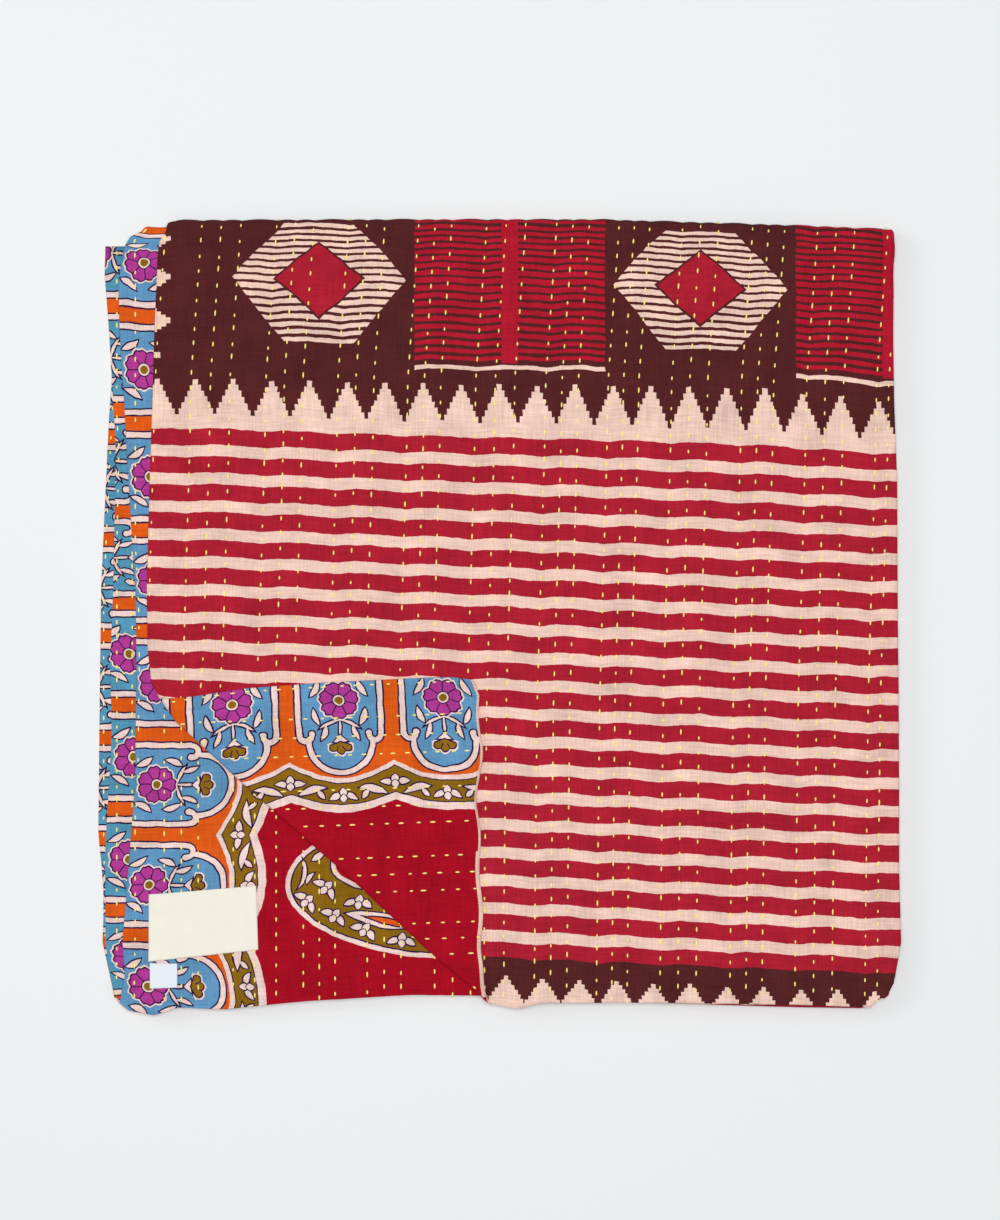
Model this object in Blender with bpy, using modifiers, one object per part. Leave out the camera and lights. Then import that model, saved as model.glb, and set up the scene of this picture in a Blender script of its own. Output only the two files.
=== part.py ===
"""A quilted cotton throw, folded and laid flat, with one corner turned back.

The throw is one rectangle of stitched cloth, about 1.52 m by 2.34 m. It is folded in half
across its width, with that fold at the right, and then in three along its length, so that
six leaves lie on each other. The lower left corner of the top leaf is turned back over it,
and two cloth labels are sewn to the leaf under it.

Units are metres, +Z is up and +Y points to the far fold. The origin is on the ground under
the middle of the folded throw.
"""

import math
from collections import namedtuple

import bmesh
import bpy

COLLECTION_NAME = "Quilted throw"
TINY = 1e-6

# Cloth and how its leaves lie
CLOTH_THICKNESS = 0.0020
LEAF_PITCH = 0.0034
MIDDLE_X = -0.001151
MIDDLE_Y = 0.000039

# Lines where the doubled cloth starts to turn over, along Y
LOWER_HEM_Y = -0.3870
FAR_FOLD_Y = 0.3895
NEAR_FOLD_Y = -0.3830

# Steps that each bend is cut into
SIDE_FOLD_STEPS = 4
FAR_FOLD_STEPS = 6
NEAR_FOLD_STEPS = 6

# Columns across each leaf, before the stitch lines are added, and more of them as a share
# of the leaf's width where its left edge sinks over the hems below
LEAF_COLUMNS = 8
FIRST_LEAF_EDGE_COLUMNS = (0.009, 0.018, 0.028)
SECOND_LEAF_EDGE_COLUMNS = (0.930, 0.942, 0.954, 0.966, 0.978)

# One row for each height of a panel. The first hem is that of the leaf that is on top in
# the top panel, the second that of the leaf under it, and fold is where the right-hand
# fold starts to bend.
Row = namedtuple("Row", "y first_hem second_hem fold")

# Top panel, from its lower hem to the far fold
TOP_PANEL = (
    Row(-0.3870, -0.3330, -0.3720, 0.3800),
    Row(-0.3680, -0.3380, -0.3755, 0.3915),
    Row(-0.3260, -0.3400, -0.3790, 0.3990),
    Row(-0.2520, -0.3430, -0.3730, 0.3970),
    Row(-0.1660, -0.3450, -0.3660, 0.3970),
    Row(-0.0800, -0.3405, -0.3655, 0.3965),
    Row(-0.0670, -0.3490, -0.3650, 0.3965),
    Row(-0.0310, -0.3530, -0.3650, 0.3960),
    Row(0.0250, -0.3540, -0.3660, 0.3955),
    Row(0.1370, -0.3510, -0.3730, 0.3950),
    Row(0.2170, -0.3480, -0.3775, 0.3920),
    Row(0.2870, -0.3460, -0.3820, 0.3910),
    Row(0.3340, -0.3440, -0.3830, 0.3915),
    Row(0.3590, -0.3430, -0.3795, 0.3910),
    Row(0.3760, -0.3415, -0.3740, 0.3930),
    Row(0.3850, -0.3390, -0.3670, 0.3925),
    Row(0.3895, -0.3340, -0.3590, 0.3920),
)

# Bottom panel, from the far fold to the near fold
BOTTOM_PANEL = (
    Row(0.3895, -0.3310, -0.3500, 0.3920),
    Row(0.3710, -0.3650, -0.3400, 0.3935),
    Row(0.3550, -0.3820, -0.3320, 0.3930),
    Row(0.2870, -0.3860, -0.3280, 0.3910),
    Row(0.2050, -0.3930, -0.3280, 0.3920),
    Row(0.0320, -0.4010, -0.3280, 0.3930),
    Row(-0.0830, -0.4025, -0.3280, 0.3970),
    Row(-0.2290, -0.4040, -0.3280, 0.3980),
    Row(-0.2460, -0.4010, -0.3280, 0.3980),
    Row(-0.2830, -0.3980, -0.3300, 0.3965),
    Row(-0.3260, -0.4000, -0.3350, 0.3950),
    Row(-0.3830, -0.3875, -0.3650, 0.3880),
)

# Middle panel, from the near fold to its hem inside the far fold
MIDDLE_PANEL = (
    Row(-0.3830, -0.3780, -0.3870, 0.3880),
    Row(-0.3550, -0.3500, -0.3930, 0.3930),
    Row(-0.3260, -0.3350, -0.3965, 0.3950),
    Row(-0.2340, -0.3320, -0.3970, 0.3960),
    Row(-0.1180, -0.3320, -0.3900, 0.3960),
    Row(-0.0450, -0.3320, -0.3920, 0.3950),
    Row(0.0170, -0.3320, -0.3890, 0.3940),
    Row(0.1680, -0.3320, -0.3860, 0.3930),
    Row(0.2820, -0.3320, -0.3925, 0.3920),
    Row(0.3590, -0.3320, -0.3985, 0.3910),
    Row(0.3710, -0.3320, -0.3965, 0.3900),
)

# Edges that run across the throw, as x and y
Edge = namedtuple("Edge", "x y")

FIRST_LEAF_LOWER_HEM = (
    Edge(-0.339, -0.3890), Edge(-0.317, -0.3960), Edge(-0.262, -0.3955), Edge(-0.210, -0.3890),
    Edge(-0.145, -0.3890), Edge(-0.080, -0.3865), Edge(-0.030, -0.3850), Edge(0.017, -0.3920),
    Edge(0.042, -0.3865),
    Edge(0.150, -0.3858), Edge(0.300, -0.3880), Edge(0.371, -0.3905), Edge(0.377, -0.3826),
    Edge(0.394, -0.3760),
)
SECOND_LEAF_LOWER_HEM = (
    Edge(-0.372, -0.3940), Edge(-0.346, -0.3990), Edge(-0.323, -0.3910), Edge(-0.275, -0.3930),
    Edge(-0.196, -0.3846), Edge(-0.100, -0.3784), Edge(-0.020, -0.3794), Edge(0.060, -0.3830),
    Edge(0.390, -0.3800),
)

# How far the two long folds stray from straight, as x and y
FAR_FOLD_STRAY = (
    Edge(-0.396, 0.0015), Edge(-0.374, 0.0015), Edge(-0.358, -0.0035), Edge(-0.337, -0.0040),
    Edge(-0.320, -0.0008), Edge(-0.100, 0.0), Edge(0.100, 0.0), Edge(0.300, -0.0060),
    Edge(0.394, -0.0100),
)
NEAR_FOLD_STRAY = (
    Edge(-0.385, 0.0010), Edge(-0.300, 0.0020), Edge(-0.200, 0.0100), Edge(-0.020, 0.0130),
    Edge(0.060, 0.0040), Edge(0.300, -0.0030), Edge(0.366, -0.0040), Edge(0.380, 0.0050),
    Edge(0.390, 0.0080),
)
FAR_STRAY_REACH = 0.180
NEAR_STRAY_REACH = 0.080

# A leaf sinks where the one under it ends
SINK_WIDTH = 0.032
SINK_FADE = 0.050

# Quilting: running stitches in groups of three lines, with soft ridges between them
LINES_IN_GROUP = 3
LINE_PITCH = 0.0175
FIRST_LEAF_GROUPS = 12
FIRST_LEAF_GROUP_START = -0.3800
FIRST_LEAF_GROUP_PITCH = 0.0686
SECOND_LEAF_GROUPS = 5
SECOND_LEAF_GROUP_START = -0.3306
SECOND_LEAF_GROUP_PITCH = 0.0668
LINE_LEAN = 0.029
LEAN_FROM_Y = 0.177
RIDGE_HEIGHT = 0.0008
RIDGE_TOP_Y = 0.376
RIDGE_FADE = 0.040
SECOND_LEAF_RIDGE_TOP_Y = -0.080
SECOND_LEAF_RIDGE_RIGHT_X = -0.030
SECOND_LEAF_MIRROR = 0.397

# The corner that is turned back, along a crease from its left end to its right end
CREASE_LEFT = (-0.337, -0.080)
CREASE_RIGHT = (-0.021, -0.375)
CREASE_RADIUS = 0.0025
CREASE_STEPS = 5
FLAP_HEIGHT = 0.0038
FLAP_SETTLE = 0.015
FLAP_EASE = 1.035
Bow = namedtuple("Bow", "share out")
CREASE_BOW = (
    Bow(0.0, 0.0), Bow(0.06, 0.006), Bow(0.30, 0.0055), Bow(0.60, 0.001), Bow(0.85, 0.001),
    Bow(1.0, -0.002),
)
BOW_REACH = 0.050

# Sewn labels: corners in order round the piece, as x and y
LABEL_THICKNESS = 0.0007
LABEL_GAP = 0.0004
CLOTH_LABEL = (
    Edge(-0.352, -0.345), Edge(-0.242, -0.333), Edge(-0.244, -0.269), Edge(-0.352, -0.278),
)
CARE_LABEL = (
    Edge(-0.3505, -0.372), Edge(-0.323, -0.371), Edge(-0.323, -0.347), Edge(-0.3505, -0.3465),
)
CLOTH_LABEL_CELLS = (18, 5)
CARE_LABEL_CELLS = (6, 3)

# Heights of the doubled cloth's middle in each panel
BOTTOM_Z = CLOTH_THICKNESS / 2 + LEAF_PITCH / 2
MIDDLE_Z = BOTTOM_Z + 2 * LEAF_PITCH
TOP_Z = MIDDLE_Z + 2 * LEAF_PITCH
FAR_RADIUS = (TOP_Z - BOTTOM_Z) / 2
NEAR_RADIUS = (MIDDLE_Z - BOTTOM_Z) / 2
SIDE_RADIUS = LEAF_PITCH / 2
SIDE_BEND = math.pi * SIDE_RADIUS

# Distances along the cloth's length at which each stretch ends
TOP_END = FAR_FOLD_Y - LOWER_HEM_Y
FAR_END = TOP_END + math.pi * FAR_RADIUS
BOTTOM_END = FAR_END + FAR_FOLD_Y - NEAR_FOLD_Y
NEAR_END = BOTTOM_END + math.pi * NEAR_RADIUS
CLOTH_LENGTH = NEAR_END + MIDDLE_PANEL[-1].y - NEAR_FOLD_Y


def smooth(value):
    """Ease from 0 to 1 as value goes from 0 to 1."""
    value = min(max(value, 0.0), 1.0)
    return value * value * (3 - 2 * value)


def read_table(rows, position, column):
    """Read one column of a table at a position in its first column."""
    first = rows[0]
    for second in rows[1:]:
        if (position - first[0]) * (position - second[0]) <= 0:
            break
        first = second
    else:
        near_start = abs(position - rows[0][0]) < abs(position - rows[-1][0])
        return getattr(rows[0] if near_start else rows[-1], column)
    share = (position - first[0]) / (second[0] - first[0])
    return getattr(first, column) * (1 - share) + getattr(second, column) * share


Station = namedtuple("Station", "along first_hem second_hem fold")


def list_stations():
    """Put the rows of the three panels in one table, by distance along the cloth."""
    stations = []
    for row in TOP_PANEL:
        stations.append(Station(row.y - LOWER_HEM_Y, *row[1:]))
    for row in BOTTOM_PANEL:
        stations.append(Station(FAR_END + FAR_FOLD_Y - row.y, *row[1:]))
    for row in MIDDLE_PANEL:
        stations.append(Station(NEAR_END + row.y - NEAR_FOLD_Y, *row[1:]))
    return stations


STATIONS = list_stations()


def stitch_lines(start, groups, pitch):
    """The x of each stitch line, in groups of three."""
    lines = []
    for group in range(groups):
        for line in range(LINES_IN_GROUP):
            lines.append(start + group * pitch + line * LINE_PITCH)
    return lines


FIRST_LEAF_LINES = stitch_lines(FIRST_LEAF_GROUP_START, FIRST_LEAF_GROUPS, FIRST_LEAF_GROUP_PITCH)
SECOND_LEAF_LINES = stitch_lines(SECOND_LEAF_GROUP_START, SECOND_LEAF_GROUPS, SECOND_LEAF_GROUP_PITCH)


def ridge(lines, x, y):
    """Height of the soft ridge between two stitch lines, 0 on a line."""
    x = x - LINE_LEAN * (y - LEAN_FROM_Y)
    widest = FIRST_LEAF_GROUP_PITCH - (LINES_IN_GROUP - 1) * LINE_PITCH
    for left, right in zip(lines, lines[1:]):
        if left <= x <= right:
            height = RIDGE_HEIGHT * math.sqrt((right - left) / widest)
            return height * math.sin(math.pi * (x - left) / (right - left))
    return 0.0


def sink(x, y, leaves_missing_from):
    """How far a leaf sinks at the left, over the hems of the leaves under it."""
    depth = 0.0
    for rows, column in leaves_missing_from:
        hem = read_table(rows, y, column)
        depth += LEAF_PITCH * smooth((hem - x) / SINK_WIDTH)
    return depth


def fade_near(y):
    """1 over most of the throw and 0 at the near fold."""
    return smooth((y - NEAR_FOLD_Y) / SINK_FADE)


def fade_far(y):
    """1 over most of the throw and 0 at the far fold."""
    return smooth((FAR_FOLD_Y - y) / SINK_FADE)


def sink_in_top_panel(x, y):
    """The top panel sinks over both hems that end short under it."""
    depth = sink(x, y, ((BOTTOM_PANEL, "second_hem"),)) * fade_near(y)
    depth += sink(x, y, ((MIDDLE_PANEL, "first_hem"),))
    return depth * fade_far(y)


def sink_in_middle_panel(x, y):
    """The middle panel sinks over the hem that ends short under it."""
    return sink(x, y, ((BOTTOM_PANEL, "second_hem"),)) * fade_near(y)


def far_stray(x, y):
    """How far the far fold strays from straight, fading over the panels."""
    far = smooth((y - FAR_FOLD_Y + FAR_STRAY_REACH) / FAR_STRAY_REACH)
    return read_table(FAR_FOLD_STRAY, x, "y") * far


def near_stray(x, y):
    """How far the near fold strays. The lower hems over it have tables of their own."""
    near = smooth((NEAR_FOLD_Y + NEAR_STRAY_REACH - y) / NEAR_STRAY_REACH)
    return read_table(NEAR_FOLD_STRAY, x, "y") * near


def spread_flat(share, along):
    """Place a point of the flat sheet, whose long hems and side fold aren't straight.

    Share goes from 0 to 1 over the first leaf, to 2 over the side fold and to 3 over the
    second leaf.
    """
    first_hem = read_table(STATIONS, along, "first_hem")
    second_hem = read_table(STATIONS, along, "second_hem")
    fold = read_table(STATIONS, along, "fold")
    y = LOWER_HEM_Y + along
    if share <= 1:
        x = first_hem + share * (fold - first_hem)
        if along < TINY:
            y = read_table(FIRST_LEAF_LOWER_HEM, x, "y")
    elif share < 2:
        x = fold + (share - 1) * SIDE_BEND
        if along < TINY:
            y = read_table(FIRST_LEAF_LOWER_HEM, fold, "y")
    else:
        reach = (share - 2) * (fold - second_hem)
        x = fold + SIDE_BEND + reach
        if along < TINY:
            y = read_table(SECOND_LEAF_LOWER_HEM, fold - reach, "y")
    return x, y


def crease_frame():
    """Direction along the crease, direction out of the corner, and the crease's length."""
    run = (CREASE_RIGHT[0] - CREASE_LEFT[0], CREASE_RIGHT[1] - CREASE_LEFT[1])
    length = math.hypot(*run)
    direction = (run[0] / length, run[1] / length)
    outward = (direction[1], -direction[0])
    return direction, outward, length


def turn_corner(x, y):
    """Where the crease takes a point of the first leaf: its x, its y and how far it rises."""
    direction, outward, length = crease_frame()
    from_start = (x - CREASE_LEFT[0], y - CREASE_LEFT[1])
    along = from_start[0] * direction[0] + from_start[1] * direction[1]
    beyond = from_start[0] * outward[0] + from_start[1] * outward[1]
    roll = math.pi * CREASE_RADIUS
    rise = 0.0
    offset = beyond
    if beyond > roll:
        back = (beyond - roll) * FLAP_EASE
        offset = -back
        rise = FLAP_HEIGHT + (2 * CREASE_RADIUS - FLAP_HEIGHT) * math.exp(-back / FLAP_SETTLE)
    elif beyond > 0:
        angle = beyond / CREASE_RADIUS
        offset = CREASE_RADIUS * math.sin(angle)
        rise = CREASE_RADIUS * (1 - math.cos(angle))
    bow = read_table(CREASE_BOW, along / length, "out") * math.exp(-abs(offset) / BOW_REACH)
    offset += bow * smooth(1 + min(along, 0) / BOW_REACH) * smooth(1 - (along - length) / BOW_REACH)
    x = CREASE_LEFT[0] + along * direction[0] + offset * outward[0]
    y = CREASE_LEFT[1] + along * direction[1] + offset * outward[1]
    return x, y, rise


def fold_in_top_panel(x, y, normal, first_leaf):
    """Place a point of the top panel, with its ridges and the corner that is turned back."""
    if first_leaf:
        lift = ridge(FIRST_LEAF_LINES, x, y) * smooth((RIDGE_TOP_Y - y) / RIDGE_FADE)
        x, y, rise = turn_corner(x, y)
        lift += rise
    else:
        lift = ridge(SECOND_LEAF_LINES, x, y)
        lift *= smooth((SECOND_LEAF_RIDGE_TOP_Y - y) / RIDGE_FADE)
        lift *= smooth((SECOND_LEAF_RIDGE_RIGHT_X - x) / RIDGE_FADE)
    z = TOP_Z + normal + lift - sink_in_top_panel(x, y)
    return x, y + far_stray(x, y), z


def fold_sheet(flat_x, flat_y):
    """Fold a point of the flat sheet in half and then in three."""
    along = flat_y - LOWER_HEM_Y
    fold = read_table(STATIONS, max(along, 0), "fold")
    past_fold = flat_x - fold
    if past_fold <= 0:
        x = flat_x
        normal = SIDE_RADIUS
    elif past_fold < SIDE_BEND:
        angle = past_fold / SIDE_RADIUS
        x = fold + SIDE_RADIUS * math.sin(angle)
        normal = SIDE_RADIUS * math.cos(angle)
    else:
        x = fold - (past_fold - SIDE_BEND)
        normal = -SIDE_RADIUS

    if along <= TOP_END:
        return fold_in_top_panel(x, flat_y, normal, past_fold <= 0)
    if along < FAR_END:
        angle = (along - TOP_END) / FAR_RADIUS
        y = FAR_FOLD_Y + (FAR_RADIUS + normal) * math.sin(angle)
        z = BOTTOM_Z + FAR_RADIUS + (FAR_RADIUS + normal) * math.cos(angle)
        return x, y + far_stray(x, y), z
    if along <= BOTTOM_END:
        y = FAR_FOLD_Y - (along - FAR_END)
        return x, y + far_stray(x, y) + near_stray(x, y), BOTTOM_Z - normal
    if along < NEAR_END:
        angle = (along - BOTTOM_END) / NEAR_RADIUS
        y = NEAR_FOLD_Y - (NEAR_RADIUS + normal) * math.sin(angle)
        z = BOTTOM_Z + NEAR_RADIUS - (NEAR_RADIUS + normal) * math.cos(angle)
        return x, y + near_stray(x, y), z
    y = NEAR_FOLD_Y + along - NEAR_END
    z = MIDDLE_Z + normal - sink_in_middle_panel(x, y)
    return x, y + far_stray(x, y) + near_stray(x, y), z


def cut_line(mesh, point, normal, wanted=None):
    """Add a line of points where a plane crosses the flat sheet, or the wanted faces of it."""
    faces = [face for face in mesh.faces if wanted is None or wanted(face.calc_center_median())]
    edges = list({edge for face in faces for edge in face.edges})
    points = list({vertex for edge in edges for vertex in edge.verts})
    bmesh.ops.bisect_plane(mesh, geom=points + edges + faces, dist=TINY, plane_co=point, plane_no=normal)


def in_first_leaf(centre):
    """Whether a flat point is in the first leaf of the top panel."""
    along = centre.y - LOWER_HEM_Y
    return along < TOP_END and centre.x < read_table(STATIONS, max(along, 0), "fold")


def in_second_leaf(centre):
    """Whether a flat point is in the part of the second leaf that the turned corner bares."""
    along = centre.y - LOWER_HEM_Y
    past_fold = centre.x - read_table(STATIONS, max(along, 0), "fold")
    return centre.y < SECOND_LEAF_RIDGE_TOP_Y and past_fold > SIDE_BEND


def flat_sheet():
    """The flat sheet, cut along every line where it will bend."""
    mesh = bmesh.new()
    bmesh.ops.create_grid(mesh, x_segments=1, y_segments=1, size=0.5)
    for vertex in mesh.verts:
        vertex.co.x = (vertex.co.x + 0.5) * 3
        vertex.co.y = (vertex.co.y + 0.5) * CLOTH_LENGTH

    shares = [column / LEAF_COLUMNS for column in range(1, LEAF_COLUMNS + 1)]
    shares += [1 + step / SIDE_FOLD_STEPS for step in range(1, SIDE_FOLD_STEPS + 1)]
    shares += [2 + column / LEAF_COLUMNS for column in range(1, LEAF_COLUMNS)]
    shares += FIRST_LEAF_EDGE_COLUMNS
    shares += [2 + share for share in SECOND_LEAF_EDGE_COLUMNS]
    for share in shares:
        cut_line(mesh, (share, 0, 0), (1, 0, 0))

    heights = [station.along for station in STATIONS]
    heights += [TOP_END + (FAR_END - TOP_END) * step / FAR_FOLD_STEPS for step in range(1, FAR_FOLD_STEPS)]
    heights += [BOTTOM_END + (NEAR_END - BOTTOM_END) * step / NEAR_FOLD_STEPS
                for step in range(1, NEAR_FOLD_STEPS)]
    for height in sorted(set(heights)):
        if 0 < height < CLOTH_LENGTH:
            cut_line(mesh, (0, height, 0), (0, 1, 0))

    for vertex in mesh.verts:
        vertex.co.x, vertex.co.y = spread_flat(vertex.co.x, vertex.co.y)
    return mesh


def cut_stitch_lines(mesh):
    """Lines on and halfway between the stitch lines, which carry the soft ridges."""
    lean = (1, -LINE_LEAN, 0)
    for left, right in zip(FIRST_LEAF_LINES, FIRST_LEAF_LINES[1:]):
        for x in (left, (left + right) / 2):
            cut_line(mesh, (x, LEAN_FROM_Y, 0), lean, in_first_leaf)

    lean = (1, LINE_LEAN, 0)
    for left, right in zip(SECOND_LEAF_LINES, SECOND_LEAF_LINES[1:]):
        for x in (left, (left + right) / 2):
            mirrored = 2 * SECOND_LEAF_MIRROR + SIDE_BEND - x
            cut_line(mesh, (mirrored, LEAN_FROM_Y, 0), lean, in_second_leaf)


def cut_crease(mesh):
    """Lines across the corner where it rolls over."""
    direction, outward, length = crease_frame()
    for step in range(CREASE_STEPS + 1):
        offset = math.pi * CREASE_RADIUS * step / CREASE_STEPS
        point = (CREASE_LEFT[0] + offset * outward[0], CREASE_LEFT[1] + offset * outward[1], 0)
        cut_line(mesh, point, (outward[0], outward[1], 0), in_first_leaf)


def cotton(name, colour, roughness):
    """A plain cotton surface."""
    material = bpy.data.materials.new(name)
    material.use_nodes = True
    surface = material.node_tree.nodes["Principled BSDF"]
    surface.inputs["Base Color"].default_value = (*colour, 1.0)
    surface.inputs["Roughness"].default_value = roughness
    surface.inputs["Metallic"].default_value = 0.0
    return material


def add_piece(name, mesh, thickness, material, collection):
    """Make an object of an open sheet and give it its thickness."""
    for vertex in mesh.verts:
        vertex.co.x -= MIDDLE_X
        vertex.co.y -= MIDDLE_Y
    data = bpy.data.meshes.new(name)
    mesh.to_mesh(data)
    mesh.free()
    data.materials.append(material)
    piece = bpy.data.objects.new(name, data)
    collection.objects.link(piece)
    solidify = piece.modifiers.new("Thickness", "SOLIDIFY")
    solidify.thickness = thickness
    solidify.offset = 0.0
    solidify.use_quality_normals = True
    return piece


def make_throw(collection):
    """The folded throw, one piece of cloth."""
    mesh = flat_sheet()
    cut_stitch_lines(mesh)
    cut_crease(mesh)
    for vertex in mesh.verts:
        vertex.co = fold_sheet(vertex.co.x, vertex.co.y)
    material = cotton("Printed cotton", (0.45, 0.01, 0.03), 0.85)
    return add_piece("throw", mesh, CLOTH_THICKNESS, material, collection)


def make_label(name, corners, cells, material, collection):
    """A label that follows the leaf it is sewn to."""
    mesh = bmesh.new()
    bmesh.ops.create_grid(mesh, x_segments=cells[0], y_segments=cells[1], size=0.5)
    low_left, low_right, high_right, high_left = corners
    rise = CLOTH_THICKNESS / 2 + RIDGE_HEIGHT + LABEL_GAP + LABEL_THICKNESS / 2
    for vertex in mesh.verts:
        across = vertex.co.x + 0.5
        up = vertex.co.y + 0.5
        low_x = low_left.x + across * (low_right.x - low_left.x)
        low_y = low_left.y + across * (low_right.y - low_left.y)
        high_x = high_left.x + across * (high_right.x - high_left.x)
        high_y = high_left.y + across * (high_right.y - high_left.y)
        x = low_x + up * (high_x - low_x)
        y = low_y + up * (high_y - low_y)
        z = TOP_Z - SIDE_RADIUS - sink_in_top_panel(x, y) + rise
        vertex.co = (x, y, z)
    return add_piece(name, mesh, LABEL_THICKNESS, material, collection)


def main():
    for old in list(bpy.data.objects):
        bpy.data.objects.remove(old, do_unlink=True)
    collection = bpy.data.collections.new(COLLECTION_NAME)
    bpy.context.scene.collection.children.link(collection)
    make_throw(collection)
    label_cotton = cotton("Label cotton", (0.89, 0.87, 0.75), 0.8)
    make_label("cloth_label", CLOTH_LABEL, CLOTH_LABEL_CELLS, label_cotton, collection)
    label_satin = cotton("Label satin", (0.82, 0.87, 0.93), 0.5)
    make_label("care_label", CARE_LABEL, CARE_LABEL_CELLS, label_satin, collection)


main()
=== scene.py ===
"""The looks of a quilted cotton throw that is folded and laid flat.

The throw is one stitched cloth with a print on each face. It is folded in half, with that
fold at the right, and then in three, and the lower left corner of the top leaf is turned
back, which shows the print of the other face. The folding is worked out from the flat
cloth, so each print lies in the flat cloth's own UV map and follows every bend.

Sizes are metres where they place a shape. Sizes in a print are millimetres, and say so.
"""

import math
import random
from bisect import bisect_right
from collections import namedtuple

import bmesh
import bpy
from bpy.props import FloatProperty, FloatVectorProperty, IntProperty, PointerProperty
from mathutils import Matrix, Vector, noise


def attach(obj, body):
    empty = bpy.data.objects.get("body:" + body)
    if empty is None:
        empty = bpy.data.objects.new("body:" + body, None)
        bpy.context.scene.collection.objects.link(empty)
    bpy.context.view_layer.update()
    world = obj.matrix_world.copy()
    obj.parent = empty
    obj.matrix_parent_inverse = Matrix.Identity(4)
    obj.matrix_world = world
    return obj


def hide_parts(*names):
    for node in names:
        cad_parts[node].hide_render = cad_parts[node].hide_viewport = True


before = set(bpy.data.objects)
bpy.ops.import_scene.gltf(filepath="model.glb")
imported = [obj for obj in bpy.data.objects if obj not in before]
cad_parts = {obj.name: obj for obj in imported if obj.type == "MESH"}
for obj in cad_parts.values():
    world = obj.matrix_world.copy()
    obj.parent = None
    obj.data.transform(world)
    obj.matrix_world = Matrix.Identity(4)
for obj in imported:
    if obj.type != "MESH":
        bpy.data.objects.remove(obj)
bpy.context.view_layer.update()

bl_info = {
    "name": "Quilted throw",
    "version": (1, 0, 0),
    "blender": (4, 5, 0),
    "location": "3D View > Sidebar > Throw",
    "description": "Builds a folded quilted throw with its prints, stitches and labels",
    "category": "Object",
}

BODY = "root"
TINY = 1e-6
MM = 0.001

# Cloth and how its leaves lie, as in the solid that the frame holds
LEAF_PITCH = 0.0034
MIDDLE_X = -0.001151
MIDDLE_Y = 0.000039
LOWER_HEM_Y = -0.3870
FAR_FOLD_Y = 0.3895
NEAR_FOLD_Y = -0.3830

# One row for each height of a panel. The first hem is that of the leaf that is on top in
# the top panel, the second that of the leaf under it, and fold is where the right-hand
# fold starts to bend.
Row = namedtuple("Row", "y first_hem second_hem fold")

TOP_PANEL = (
    Row(-0.3870, -0.3330, -0.3720, 0.3800),
    Row(-0.3680, -0.3380, -0.3755, 0.3915),
    Row(-0.3260, -0.3400, -0.3790, 0.3990),
    Row(-0.2520, -0.3430, -0.3730, 0.3970),
    Row(-0.1660, -0.3450, -0.3660, 0.3970),
    Row(-0.0800, -0.3405, -0.3655, 0.3965),
    Row(-0.0670, -0.3490, -0.3650, 0.3965),
    Row(-0.0310, -0.3530, -0.3650, 0.3960),
    Row(0.0250, -0.3540, -0.3660, 0.3955),
    Row(0.1370, -0.3510, -0.3730, 0.3950),
    Row(0.2170, -0.3480, -0.3775, 0.3920),
    Row(0.2870, -0.3460, -0.3820, 0.3910),
    Row(0.3340, -0.3440, -0.3830, 0.3915),
    Row(0.3590, -0.3430, -0.3795, 0.3910),
    Row(0.3760, -0.3415, -0.3740, 0.3930),
    Row(0.3850, -0.3390, -0.3670, 0.3925),
    Row(0.3895, -0.3340, -0.3590, 0.3920),
)
BOTTOM_PANEL = (
    Row(0.3895, -0.3310, -0.3500, 0.3920),
    Row(0.3710, -0.3650, -0.3400, 0.3935),
    Row(0.3550, -0.3820, -0.3320, 0.3930),
    Row(0.2870, -0.3860, -0.3280, 0.3910),
    Row(0.2050, -0.3930, -0.3280, 0.3920),
    Row(0.0320, -0.4010, -0.3280, 0.3930),
    Row(-0.0830, -0.4025, -0.3280, 0.3970),
    Row(-0.2290, -0.4040, -0.3280, 0.3980),
    Row(-0.2460, -0.4010, -0.3280, 0.3980),
    Row(-0.2830, -0.3980, -0.3300, 0.3965),
    Row(-0.3260, -0.4000, -0.3350, 0.3950),
    Row(-0.3830, -0.3875, -0.3650, 0.3880),
)
MIDDLE_PANEL = (
    Row(-0.3830, -0.3780, -0.3870, 0.3880),
    Row(-0.3550, -0.3500, -0.3930, 0.3930),
    Row(-0.3260, -0.3350, -0.3965, 0.3950),
    Row(-0.2340, -0.3320, -0.3970, 0.3960),
    Row(-0.1180, -0.3320, -0.3900, 0.3960),
    Row(-0.0450, -0.3320, -0.3920, 0.3950),
    Row(0.0170, -0.3320, -0.3890, 0.3940),
    Row(0.1680, -0.3320, -0.3860, 0.3930),
    Row(0.2820, -0.3320, -0.3925, 0.3920),
    Row(0.3590, -0.3320, -0.3985, 0.3910),
    Row(0.3710, -0.3320, -0.3965, 0.3900),
)

Edge = namedtuple("Edge", "x y")

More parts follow.
